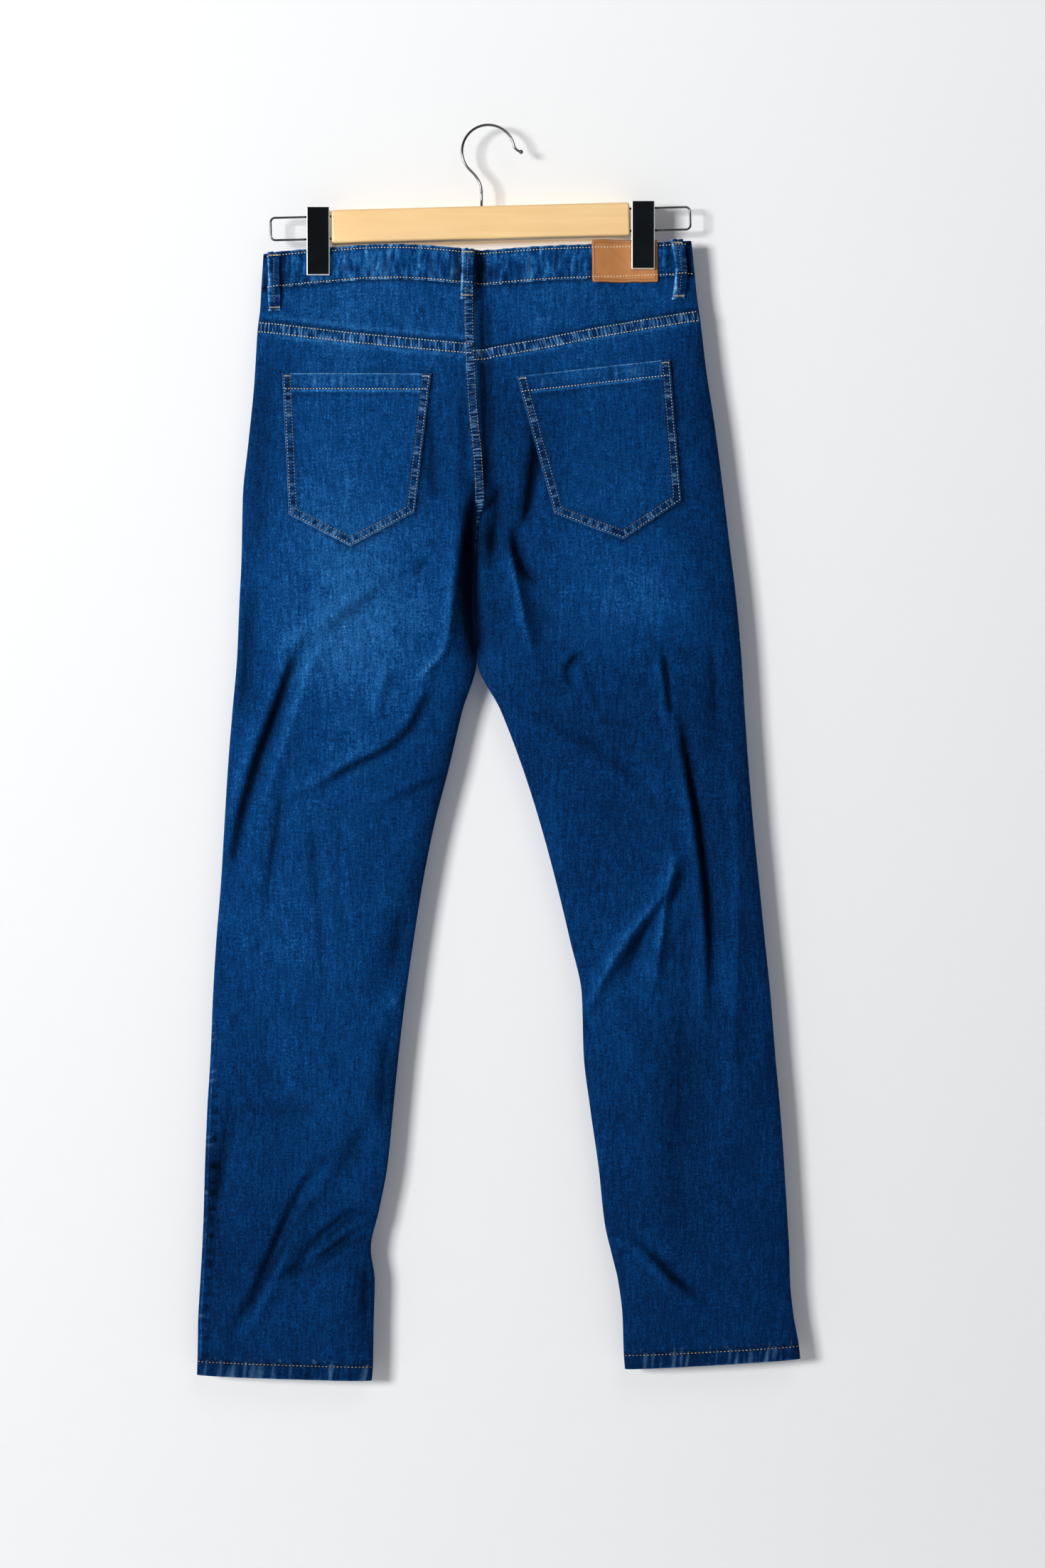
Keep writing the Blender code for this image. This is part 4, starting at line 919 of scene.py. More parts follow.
class Shader:
    """A Principled material and the nodes that feed it."""

    def __init__(self, name: str, **constants: float | tuple[float, ...]) -> None:
        """Makes the material.

        Args:
            name: the material's name.
            constants: what the Principled node's sockets hold, by their names in small letters.
        """
        self.material = bpy.data.materials.new(name)
        self.material.use_nodes = True
        self.tree = self.material.node_tree
        self.principled = self.tree.nodes["Principled BSDF"]
        for word, value in constants.items():
            self.principled.inputs[word.replace("_", " ").title().replace("Ior", "IOR")].default_value = value
        self.material.diffuse_color = (*constants.get("base_color", (0.5, 0.5, 0.5, 1))[:3], 1)

    def node(
        self,
        kind: str,
        settings: dict[str, object] | None = None,
        values: dict[str | int, object] | None = None,
        output: str | int = 0,
    ) -> Signal:
        """Adds a node.

        Args:
            kind: the node's type.
            settings: its properties; "stops" holds a colour ramp's stops.
            values: what its sockets hold or are linked to.
            output: the socket that is returned.

        Returns:
            The chosen output.
        """
        made = self.tree.nodes.new(kind)
        for word, value in (settings or {}).items():
            if word == "stops":
                self.set_stops(made.color_ramp, value)
            else:
                setattr(made, word, value)
        for word, value in (values or {}).items():
            if isinstance(value, Signal):
                self.tree.links.new(value.socket, made.inputs[word])
            else:
                made.inputs[word].default_value = value
        return Signal(self, made.outputs[output])

    def set_stops(self, ramp: bpy.types.ColorRamp, stops: tuple[tuple[float, Colour], ...]) -> None:
        """Gives a colour ramp its stops."""
        while len(ramp.elements) > 1:
            ramp.elements.remove(ramp.elements[-1])
        ramp.elements[0].position = stops[0][0]
        ramp.elements[0].color = (*stops[0][1], 1)
        for place, colour in stops[1:]:
            ramp.elements.new(place).color = (*colour, 1)

    def math(self, operation: str, *values: Signal | float) -> Signal:
        """A Math node on signals and numbers."""
        return self.node("ShaderNodeMath", {"operation": operation}, dict(enumerate(values)))

    def place(self) -> Signal:
        """Object coordinates, in metres."""
        return self.node("ShaderNodeTexCoord", output="Object")

    def attribute(self, name: str, output: str) -> Signal:
        """A value that is stored on the mesh's points."""
        return self.node("ShaderNodeAttribute", {"attribute_name": name}, output=output)

    def parts(self, vector: Signal) -> tuple[Signal, Signal, Signal]:
        """The three components of a vector."""
        first = self.node("ShaderNodeSeparateXYZ", values={0: vector})
        return tuple(Signal(self, socket) for socket in first.socket.node.outputs)

    def vector(self, x: Signal | float, y: Signal | float, z: Signal | float) -> Signal:
        """A vector from its components."""
        return self.node("ShaderNodeCombineXYZ", values={0: x, 1: y, 2: z})

    def noise(self, vector: Signal, scale: tuple[float, float, float], detail: float = 2.0) -> Signal:
        """Noise around 0, from about -1 to 1, with its own scale along each axis."""
        stretched = self.node("ShaderNodeVectorMath", {"operation": "MULTIPLY"}, {0: vector, 1: scale})
        raw = self.node("ShaderNodeTexNoise", values={"Vector": stretched, "Scale": 1.0, "Detail": detail})
        return (raw - 0.5) * 3.2

    def mix(self, factor: Signal | float, first: Signal | Colour, second: Signal | Colour) -> Signal:
        """A colour between two colours."""
        ready = [c if isinstance(c, Signal) else (*c, 1) for c in (first, second)]
        values = {0: factor, 6: ready[0], 7: ready[1]}
        return self.node("ShaderNodeMix", {"data_type": "RGBA"}, values, output=2)

    def scaled(self, colour: Signal | Colour, factor: Signal) -> Signal:
        """A colour made lighter or darker by a factor."""
        return self.node("ShaderNodeVectorMath", {"operation": "SCALE"}, {0: colour, "Scale": factor})

    def feed(self, socket: str, signal: Signal) -> None:
        """Links a signal to a socket of the Principled shader."""
        self.tree.links.new(signal.socket, self.principled.inputs[socket])

    def bump(self, height: Signal, strength: float = 1.0) -> None:
        """Lets a height in metres tilt the surface."""
        values = {"Strength": strength, "Distance": 1.0, "Height": height}
        self.feed("Normal", self.node("ShaderNodeBump", values=values))


@dataclass(frozen=True)
class DenimFinish:
    """Washed stretch denim: twill, slubs, faded patches and roped seams, with the painted highlights and
    painted shade that each piece stores.
    """

    name: str = "denim"
    deep: Colour = (0.0005, 0.0145, 0.063)
    mid: Colour = (0.0017, 0.041, 0.158)
    faded: Colour = (0.0145, 0.112, 0.315)
    # the palest blue, for strong wear, roping and painted highlights
    worn: Colour = (0.16, 0.35, 0.58)
    rope_dark: Colour = (0.0010, 0.0085, 0.036)
    wash: float = 0.0
    patchy: float = 0.0
    twill_period: float = 0.00105
    roughness: float = 0.9

    def material(self) -> bpy.types.Material:
        """Builds the material."""
        s = Shader(self.name, base_color=(*self.mid, 1), roughness=self.roughness, specular_ior_level=0.035)
        spot = s.place()
        x, _, z = s.parts(spot)
        # the stored fade with its painted highlights, and below it the stored painted shade
        worn = s.attribute("worn", "Fac")
        run, rise, rope = s.parts(s.attribute("seam", "Vector"))
        shade = s.attribute("shade", "Fac")
        cloud = s.noise(spot, (24, 24, 15), 4)
        streak = s.noise(spot, (520, 200, 75), 2)
        weft = s.noise(spot, (110, 90, 620), 2)
        speck = s.noise(spot, (860, 860, 680), 2)
        grain = s.noise(spot, (1400, 1400, 1100), 1)
        twill = ((x * 0.8 + z) * (2 * math.pi / self.twill_period) + grain * 1.2).sine()
        wear_and_highlight = worn + cloud * 0.10 + streak * 0.14 + weft * 0.075 + speck * 0.24 + self.wash
        if self.patchy:
            wear_and_highlight = wear_and_highlight + (s.noise(spot, (230, 230, 74), 3) + 0.1) * self.patchy
        shade = shade * (1 + streak * 0.13 + weft * 0.10 + speck * 0.23 + grain * 0.34 + twill * 0.07)
        stops = ((0.0, self.deep), (0.35, self.mid), (0.7, self.faded), (1.0, self.worn))
        base = s.node("ShaderNodeValToRGB", {"stops": stops}, {"Fac": wear_and_highlight.clamped()})
        path = s.vector(run * 330 + rise * 45, rise * 50, 0.0)
        twist = (s.noise(path, (1, 1, 1), 1) + s.noise(path, (0.21, 0.3, 1), 2) * 0.6) * rope
        base = s.mix((twist * 1.2 - 0.08).clamped() * 0.56, base, self.worn)
        base = s.mix((twist * -1.5 + rope * 0.12).clamped() * 0.82, base, self.rope_dark)
        s.feed("Base Color", s.scaled(base, shade))
        s.bump(twist * 0.00022 + streak * 0.000022 + grain * 0.00003 + twill * 0.000012)
        return s.material


@dataclass(frozen=True)
class ThreadFinish:
    """Two-tone topstitching, tan with pale plies."""

    tan: Colour = (0.44, 0.265, 0.105)
    pale: Colour = (0.92, 0.87, 0.72)

    def material(self) -> bpy.types.Material:
        """Builds the material."""
        s = Shader("topstitch_thread", base_color=(*self.tan, 1), roughness=0.7, specular_ior_level=0.15)
        mottle = s.noise(s.place(), (260, 260, 260), 1)
        light = s.attribute("pale", "Fac")
        s.feed("Base Color", s.mix((mottle * 0.5 + light).clamped(), self.tan, self.pale))
        return s.material


@dataclass(frozen=True)
class LeatherFinish:
    """Matt tan leather of the bare patch."""

    light: Colour = (0.46, 0.190, 0.062)
    dark: Colour = (0.24, 0.085, 0.028)

    def material(self) -> bpy.types.Material:
        """Builds the material."""
        s = Shader("patch_leather", base_color=(*self.light, 1), roughness=0.62, specular_ior_level=0.3)
        spot = s.place()
        cloud = s.noise(spot, (45, 45, 60), 3)
        pores = s.noise(spot, (1400, 1400, 1400), 2)
        _, rise, _ = s.parts(s.attribute("seam", "Vector"))
        edge = 1 - rise.step(0.0, 0.0014)
        groove = rise.step(0.0017, 0.0022) * (1 - rise.step(0.0028, 0.0034))
        shade = (edge * 0.75 + groove * 0.7 + cloud * 0.12 + pores * 0.06 + 0.08).clamped()
        s.feed("Base Color", s.mix(shade, self.light, self.dark))
        s.bump(pores * 0.00003 + cloud * 0.00008)
        return s.material


@dataclass(frozen=True)
class WoodFinish:
    """Pale lacquered wood with faint grain along the bar."""

    light: Colour = (0.84, 0.575, 0.275)
    dark: Colour = (0.66, 0.385, 0.15)

    def material(self) -> bpy.types.Material:
        """Builds the material."""
        gloss = {"roughness": 0.42, "coat_weight": 0.25, "coat_roughness": 0.2}
        s = Shader("lacquered_wood", base_color=(*self.light, 1), **gloss)
        spot = s.place()
        grain = s.noise(spot, (9, 60, 240), 4)
        cloud = s.noise(spot, (14, 30, 40), 2)
        fleck = s.noise(spot, (90, 700, 1500), 1).step(0.72, 1.0)
        shade = (grain * 0.22 + cloud * 0.18 + 0.18 + fleck * 0.3).clamped()
        s.feed("Base Color", s.mix(shade, self.light, self.dark))
        s.bump(grain * 0.00002 - fleck * 0.00003)
        return s.material


@dataclass(frozen=True)
class SteelFinish:
    """Polished steel of the hook, wires, clips and button; the default colour, which the hook and wires take,
    is darker than bare steel as a painted dark reflection.
    """

    name: str
    # darker than bare steel: a painted dark reflection of the dim room
    colour: Colour = (0.15, 0.15, 0.155)
    roughness: float = 0.2

    def material(self) -> bpy.types.Material:
        """Builds the material."""
        s = Shader(self.name, base_color=(*self.colour, 1), metallic=1.0, roughness=self.roughness)
        spot = s.place()
        smear = s.noise(spot, (60, 60, 60), 3)
        scratch = s.noise(spot, (900, 300, 60), 1)
        s.feed("Roughness", (smear * 0.05 + scratch * 0.04 + self.roughness).clamped())
        return s.material


@dataclass(frozen=True)
class ClipFinish:
    """Polished steel of one clip, with a painted dark reflection over its face and bright steel along its
    rim.
    """

    name: str
    centre: tuple[float, float]
    half: tuple[float, float] = (0.0100, 0.0295)
    # painted dark reflection of the room in front of the clip
    dark: Colour = (0.050, 0.060, 0.072)
    bright: Colour = (0.86, 0.87, 0.88)
    rim: float = 0.0009

    def material(self) -> bpy.types.Material:
        """Builds the material."""
        s = Shader(self.name, base_color=(*self.dark, 1), metallic=1.0, roughness=0.2)
        spot = s.place()
        x, _, z = s.parts(spot)
        side = abs(x - self.centre[0]).step(self.half[0] - self.rim, self.half[0] - 0.6 * self.rim)
        foot = 1 - (z - self.centre[1]).step(self.rim * 0.7 - self.half[1], self.rim * 1.1 - self.half[1])
        scuff = s.noise(spot, (260, 260, 190), 3).step(0.62, 0.95) * 0.16
        rim = (side + foot + scuff).clamped()
        s.feed("Base Color", s.mix(rim, self.dark, self.bright))
        s.feed("Roughness", (rim * 0.25 + s.noise(spot, (60, 60, 60), 3) * 0.04 + 0.17).clamped())
        return s.material


@dataclass(frozen=True)
class MattFinish:
    """Plain matt paint or rubber."""

    name: str
    colour: Colour
    roughness: float = 0.9

    def material(self) -> bpy.types.Material:
        """Builds the material."""
        s = Shader(self.name, base_color=(*self.colour, 1), roughness=self.roughness, specular_ior_level=0.1)
        cloud = s.noise(s.place(), (1.4, 1.4, 1.4), 2)
        s.feed("Base Color", s.scaled(self.colour, 1 + cloud * 0.006))
        return s.material


@dataclass
class Finishes:
    """The materials, made once and shared by the pieces."""

    denim: bpy.types.Material
    band_denim: bpy.types.Material
    thread: bpy.types.Material
    leather: bpy.types.Material
    wood: bpy.types.Material
    steel: bpy.types.Material
    button: bpy.types.Material

    @classmethod
    def mixed(cls) -> Finishes:
        """Builds every material."""
        recipes = (
            DenimFinish(),
            DenimFinish(name="waistband_denim", wash=-0.03, patchy=0.54),
            ThreadFinish(),
            LeatherFinish(),
            WoodFinish(),
            SteelFinish("polished_steel"),
            SteelFinish("button_steel", (0.42, 0.43, 0.45), 0.25),
        )
        return cls(*(recipe.material() for recipe in recipes))


class Pucker(NamedTuple):
    """Uneven bumps along a seam: half width, spacing and height in millimetres."""

    face: Face
    path: Path
    width: float
    period: float
    height: float


PUCKERS = (
    Pucker(BACK, ((-240, -850), (-246.5, -975), (-249, -1076)), 10, 27, 0.9),
    Pucker(BACK, ((-200, -183), (-112, -191), (-16, -206)), 9, 11, 0.35),
    Pucker(BACK, ((184, -173), (92, -189), (-4, -208)), 9, 11, 0.35),
    Pucker(BACK, ((-252, -1066), (-100, -1072)), 9, 11, 0.4),
    Pucker(BACK, ((269, -1054), (118, -1062)), 9, 11, 0.4),
    Pucker(BACK, ((-22, -160), (-19, -245), (-14, -320)), 6, 10, 0.35),
    Pucker(BACK, ((-183, -215), (-177, -342), (-119, -372), (-60, -340), (-45, -215)), 6, 11, 0.3),
    Pucker(BACK, ((21, -219), (54, -342), (117.5, -366), (171, -330), (161, -203)), 6, 11, 0.3),
    Pucker(BACK, ((268, -1048), (262, -960), (258, -900)), 8, 24, 0.5),
    Pucker(BACK, ((-104, -1060), (-103, -1000)), 8, 22, 0.5),
    Pucker(FRONT, ((-252, -1066), (-100, -1072)), 9, 11, 0.4),
    Pucker(FRONT, ((269, -1054), (118, -1062)), 9, 11, 0.4),
    Pucker(FRONT, ((-16, -300), (-12, -380), (-11, -440)), 8, 14, 0.5),
)


def pucker_height(face: Face, x: Array, z: Array) -> Array:
    """How far the puckers along seams lift the cloth at (x, z)."""
    total = np.zeros(x.shape)
    for seed, pucker in enumerate(PUCKERS):
        if pucker.face is not face:
            continue
        near = close_to(np.asarray(pucker.path), 2.5 * pucker.width, x, z)
        if not near.any():
            continue
        away, run, _ = distance_to(pucker.path, x[near], z[near])
        total[near] += pucker.height * ripple(run, pucker.period, seed) * bell(away, pucker.width)
    return total


class Seam(NamedTuple):
    """A seam with roped cloth beside it: half width, strength and closeness of the rope's bars."""

    face: Face
    path: Path
    width: float
    strength: float
    bars: float = 1.0


PANEL_SEAMS = (
    Seam(BACK, ((-202, -177), (-112, -185), (-12, -199)), 7, 0.30),
    Seam(BACK, ((-6, -202), (92, -182), (186, -166)), 7, 0.30),
    Seam(BACK, ((-16.7, -140), (-16.7, -158), (-13.3, -245), (-8.7, -292), (-7, -330)), 6, 0.30),
    Seam(BACK, ((-254, -1073), (-100, -1079)), 3, 0.5, 0.6),
    Seam(BACK, ((271, -1060), (118, -1068)), 3, 0.5, 0.6),
    Seam(BACK, ((-241, -780), (-246, -880), (-250, -975), (-253, -1076)), 7.0, 0.45, 0.5),
    Seam(BACK, (*LEFT_POCKET[1:], LEFT_POCKET[0]), 3, 0.2),
    Seam(BACK, (*RIGHT_POCKET[1:], RIGHT_POCKET[0]), 3, 0.2),
    Seam(
        BACK, ((186, -175), (204, -312), (216, -411), (227, -560), (246, -758), (258, -907), (270, -1060)),
        3, 0.3, 0.4,
    ),
    Seam(FRONT, ((-254, -1073), (-100, -1079)), 3, 0.5, 0.6),
    Seam(FRONT, ((271, -1060), (118, -1068)), 3, 0.5, 0.6),
    Seam(FRONT, ((-16, -150), (-13, -240), (-6.5, -326), (-11, -418), (-10, -463)), 6, 0.4, 0.7),
    Seam(FRONT, ((-204, -225), (-219, -464), (-240, -758), (-254, -1076)), 6, 0.6, 0.35),
    Seam(FRONT, ((190, -213), (220, -461), (246, -758), (270, -1060)), 6, 0.6, 0.35),
    Seam(FRONT, ((-10, -464), (-47, -609), (-72, -758), (-88, -907), (-100, -1076)), 5, 0.45, 0.35),
    Seam(FRONT, ((-10, -464), (45, -609), (81, -758), (96, -907), (118, -1066)), 5, 0.45, 0.35),
)


def roping(face: Face, x: Array, z: Array) -> tuple[Array, Array, Array]:
    """Run, rise and strength of the nearest seam's roping at (x, z)."""
    run, rise, rope = (np.zeros(x.shape) for _ in range(3))
    best = np.full(x.shape, 1e9)
    for k, seam in enumerate(PANEL_SEAMS):
        if seam.face is not face:
            continue
        away, along, _ = distance_to(seam.path, x, z)
        nearer = away / seam.width < best
        best = np.where(nearer, away / seam.width, best)
        run = np.where(nearer, along * seam.bars + 400 * k, run)
        rise = np.where(nearer, away, rise)
        rope = np.where(nearer, seam.strength * bell(away, seam.width), rope)
    return run, rise, rope


@dataclass
class Workshop:
    form: Form
    finishes: Finishes
    pieces: list[bpy.types.Object] = field(default_factory=list)
    covers: dict[Face, list[bpy.types.Object]] = field(default_factory=lambda: {BACK: [], FRONT: []})
    grown: dict[str, BVHTree] = field(default_factory=dict)

    def cloth(
        self,
        sheet: Sheet,
        wall: float,
        nodes: tuple[str, ...],
        flat: tuple[float, float],
        finish: bpy.types.Material | None = None,
        inward: bool = True,
        both: bool = False,
    ) -> bpy.types.Object:
        """Builds one sheet of cloth in the place of CAD nodes.

        Args:
            sheet: its points.
            wall: its thickness in millimetres.
            nodes: the CAD nodes it stands for.
            flat: width and length that it was cut to, in metres.
            finish: its material, denim if left out.
            inward: whether the wall is inside the face.
            both: whether the sheet shows on both faces of the garment.

        Returns:
            The piece.
        """
        piece = give_wall(sheet.build(finish or self.finishes.denim), wall, inward)
        area = min(max(sheet.flat_area(), 0.31 * flat[0] * flat[1]), flat[0] * flat[1])
        self.covers[sheet.face].append(piece)
        if both:
            self.covers[FRONT].append(piece)
        return self.finish_piece(piece, nodes)

    def finish_piece(
        self, piece: bpy.types.Object, nodes: tuple[str, ...] = (), slot: str = "denim"
    ) -> bpy.types.Object:
        """Rides a piece on the garment, puts it in the place of CAD nodes and reports it."""
        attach(piece, "root")
        if nodes:
            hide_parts(*nodes)
        self.pieces.append(piece)
        LOG.info("%s: %d points", piece.name, len(piece.data.vertices))
        return piece

    def trees(self, face: Face) -> list[BVHTree]:
        """Search trees over the cloth that shows on one face."""
        bpy.context.view_layer.update()
        seen = bpy.context.evaluated_depsgraph_get()
        for piece in self.covers[face]:
            if piece.name not in self.grown:
                self.grown[piece.name] = BVHTree.FromObject(piece, seen)
        return [self.grown[piece.name] for piece in self.covers[face]]


# Where rays start round a place. The first ring that hits anything counts.
RAY_RINGS = (
    ((0, 0),),
    ((0.5, 0), (-0.5, 0), (0, 0.5), (0, -0.5)),
    ((1.2, 0), (-1.2, 0)),
    ((0, -2.5),),
    ((0, -5),),
)


def outermost(trees: list[BVHTree], face: Face, x: float, z: float) -> float | None:
    """How far out the pieces reach around (x, z), in millimetres."""
    inward = Vector((0, -face.value, 0))
    for around in RAY_RINGS:
        starts = [Vector((x + dx, face.value * 100, z + dz)) * MM for dx, dz in around]
        hits = [tree.ray_cast(start, inward)[0] for tree in trees for start in starts]
        reach = [face.value * hit.y / MM for hit in hits if hit is not None]
        if reach:
            return max(reach)
    return None


def outermost_grid(trees: list[BVHTree], face: Face, x: Array, z: Array) -> Array:
    """How far out the pieces reach at each place of a grid, 0 where there are none."""
    rows = zip(x.tolist(), z.tolist())
    return np.array([[outermost(trees, face, a, b) or 0.0 for a, b in zip(*row)] for row in rows])


@dataclass
class Leg:
    """One half of the garment: yoke, back panel, front panel, hem and hip pocket."""

    shop: Workshop
    side: Side
    spacing: float = 2.6
    columns: int = 104
    front_spacing: float = 3.6
    front_columns: int = 84
    wall: float = 1.1
    hem_wall: float = 2.5

    def rows(self, face: Face, spacing: float) -> Array:
        """Drops of a panel's rows."""
        form = self.shop.form
        top = form.under(self.side, "yoke_seam" if face is BACK else "waist_seam")
        low = form.over(self.side, "hem_seam")
        return np.linspace(top, low, int((low - top) / spacing) + 1)

    def sheet(self, name: str, face: Face, drops: Array, columns: int) -> Sheet:
        """A sheet between two seams with its puckers, roping and painted light and shade."""
        points = self.shop.form.grid(self.side, face, drops, columns)
        x, z = points[..., 0], points[..., 2]
        inside = np.sin(np.linspace(0, math.pi, x.shape[1])) ** 0.4
        points[..., 1] += pucker_height(face, x, z) * inside
        return Sheet(name, face, points, *roping(face, x, z), tone=self.tone(face, x, z))

    def tone(self, face: Face, x: Array, z: Array) -> Array:
        """How much lighter or darker the cloth is, mostly painted light: highlights on ridges and on walls
        that face the key light, shade in troughs, on walls that face away from it, along folds and round the
        pockets; also a lighter outer edge.
        """
        relief = self.shop.form.relief(face, x, z)
        # ridges lighter and troughs darker: partly wear, partly painted highlight and painted shade
        tone = np.where(relief > 0, np.minimum(relief * 0.024, 0.14), np.maximum(relief * 0.03, -0.45))
        outer = np.abs(x - x[:, :1])
        # painted shade on walls that face away from the key light, towards +X, and a faint painted highlight
        # on walls that face it
        slope = (self.shop.form.relief(face, x + 1.5, z) - self.shop.form.relief(face, x - 1.5, z)) / 3
        tone = tone - 0.42 * np.clip(-slope, 0, 0.9) + 0.05 * np.clip(slope, 0, 0.9)
        if face is BACK:
            # painted shade and painted highlights along the listed folds, ridges and seams
            for painted_line in PAINTED_SHADING_LINES:
                away, along, _ = distance_to(painted_line.path, x, z)
                whole = float(np.hypot(*np.diff(np.asarray(painted_line.path, float), axis=0).T).sum())
                soft = min(3.5 * painted_line.width, 0.45 * whole)
                ends = smooth_step(-0.3 * soft, soft, along) * smooth_step(-0.3 * soft, soft, whole - along)
                tone = tone - painted_line.strength * ends * bell(away, painted_line.width)
            # painted shadow round the back pockets, deeper and wider on their lower right, away from the key
            # light
            for outline in (LEFT_POCKET, RIGHT_POCKET):
                away, _, _ = distance_to((*outline[1:], outline[0]), x, z)
                shadowed_side = smooth_step(-30, 50, x - outline[3][0] - 0.3 * (z + 290))
                tone = tone - (0.32 + 0.2 * shadowed_side) * bell(away, 2.4) - 0.22 * shadowed_side * bell(away, 6.0)
            if self.side is Side.LEFT:
                low = smooth_step(770, 860, -z)
                gaps = np.clip(0.35 + ripple(z, 12.5, 4), 0, 1)
                tone = tone - 0.62 * low * gaps * bell(outer - 8.0, 3.2)
                tone = tone + 0.42 * low * bell(outer - 3.0, 0.8) - 0.3 * low * bell(outer - 4.6, 0.8)
        tone = tone + 0.16 * bell(outer, 1.3) * (z < -240)
        return tone

    def build_panels(self) -> None:
        """The back panel and the front panel, with its scooped hip pocket."""
        word = self.side.word
        back = self.sheet(f"back_{word}", BACK, self.rows(BACK, self.spacing), self.columns)
        self.shop.cloth(back, self.wall, (f"back_panel_{word}",), (0.26, 0.93))
        front = self.sheet(f"front_{word}", FRONT, self.rows(FRONT, self.front_spacing), self.front_columns)
        self.cut_scoop(front)
        self.shop.cloth(front, self.wall, (f"front_panel_{word}",), (0.25, 0.96))

    def scoop_ratio(self, x: Array, z: Array) -> Array:
        """Below 1 inside the hip pocket's opening."""
        corner = self.shop.form.tables[self.side][1]
        return np.hypot((x - corner.outer_x) / SCOOP[0], (z - corner.outer_z) / SCOOP[1])

    def cut_scoop(self, sheet: Sheet) -> None:
        """Opens the front panel along the scoop and lets its edge points lie on the curve."""
        corner = self.shop.form.tables[self.side][1]
        x, z = sheet.points[..., 0], sheet.points[..., 2]
        ratio = self.scoop_ratio(x, z)
        inside = ratio < 1
        beside = np.zeros_like(inside)
        for axis in (0, 1):
            for step in (-1, 1):
                beside |= ~np.roll(inside, step, axis=axis)
        snap = inside & beside
        scale = 1 / np.maximum(ratio, 0.3)
        new_x = corner.outer_x + (x - corner.outer_x) * scale
        new_z = corner.outer_z + (z - corner.outer_z) * scale
        top = sheet.points[0, :, 2]
        snap[0] = False
        x[snap], z[snap] = new_x[snap], np.minimum(new_z[snap], np.broadcast_to(top, z.shape)[snap])
        sheet.points[..., 1][snap] = self.shop.form.out_at(self.side, FRONT, x[snap], z[snap])
        sheet.keep = ~inside | snap
        sheet.keep[0] &= ratio[0] >= 0.97

    def build_facing(self) -> None:
        """The plain denim behind the scoop of the hip pocket."""
        form = self.shop.form
        top = form.under(self.side, "waist_seam")
        drops = np.linspace(top, top + SCOOP[1] + 14, 36)
        section = form.section(self.side, drops[:, None])
        width = SCOOP[0] + 12
        share = np.linspace(0, 1, 34)[None, :] ** 1.5 * width / np.abs(section.inner_x - section.outer_x)
        last = form.last_angle(section)
        angle = np.arccos(1 - share * (1 - np.cos(last)))
        x, y, z = form.across(self.side, FRONT, section, angle, last)
        sink = 1.6 * smooth_step(0, 14, np.abs(x - section.outer_x)) + 0.5
        points = np.stack([x, np.maximum(y - sink, 0.3), z], axis=-1)
        word = self.side.word
        facing = Sheet(f"pocket_facing_{word}_cloth", FRONT, points)
        self.shop.cloth(facing, 1.0, (f"pocket_facing_{word}",), (0.09, 0.10))

    def build_yoke(self) -> None:
        """The yoke between the waistband and the seat, with a painted shadow under the band."""
        form = self.shop.form
        top = form.under(self.side, "waist_seam")
        low = form.over(self.side, "yoke_seam")
        yoke = self.sheet(f"yoke_{self.side.word}_cloth", BACK, np.linspace(top, low, 32), self.columns)
        below = np.abs(yoke.points[..., 2] - yoke.points[:1, :, 2])
        # painted shadow under the proud waistband
        yoke.tone = yoke.tone - 0.55 * bell(below, 2.4)
        self.shop.cloth(yoke, self.wall, (f"yoke_{self.side.word}",), (0.22, 0.075))

    def build_hem(self) -> None:
        """The turned-up hem, one ring at the foot of the leg."""
        form = self.shop.form
        top = form.under(self.side, "hem_seam")
        rows, height = 20, 15
        drops = np.linspace(top, form.drop_of(self.side, "hem_edge"), rows)
        halves = [form.grid(self.side, face, drops, 96)[:, 1:-1] for face in (BACK, FRONT)]
        lift = 0.55 * np.sin(np.pi * np.linspace(0.12, 0.93, rows)) ** 0.5
        for face, half in zip((BACK, FRONT), halves):
            run = half[..., 0]
            wave = ripple(run + 40 * face.value + 0.8 * half[..., 2], 12, 3 + face.value)
            ends = np.sin(np.linspace(0, math.pi, half.shape[1])) ** 0.5
            half[..., 1] += (lift[:, None] + 0.35 * wave) * ends
            half[..., 1] *= face.value
        ring = np.concatenate([halves[0], halves[1][:, ::-1], halves[0][:, :1]], axis=1)
        ring[..., 1] *= BACK.value
        rise = np.linspace(0, height, rows)[:, None]
        run = ring[..., 0] * 0.5 + np.where(ring[..., 1] < 0, 300.0, 0.0)
        light = 0.22 * bell(rise, 0.9) + 0.30 * bell(height - rise, 1.3)
        # painted shade along the stitch row, just under the hem's top fold
        tone = light - 0.45 * bell(rise - 1.9, 1.1) - 0.14 + 0.06 * ripple(run * 2, 9, 6)
        rope = np.full(ring.shape[:2], 0.58)
        hem = Sheet(f"hem_{self.side.word}_cloth", BACK, ring, run, rise * 0.4, rope, closed=True, tone=tone)
        self.shop.cloth(hem, self.hem_wall, (f"hem_{self.side.word}",), (0.36, 0.016), both=True)

    def build(self) -> None:
        """Every piece of this half but the waistband."""
        self.build_panels()
        self.build_yoke()
        self.build_hem()
        self.build_facing()


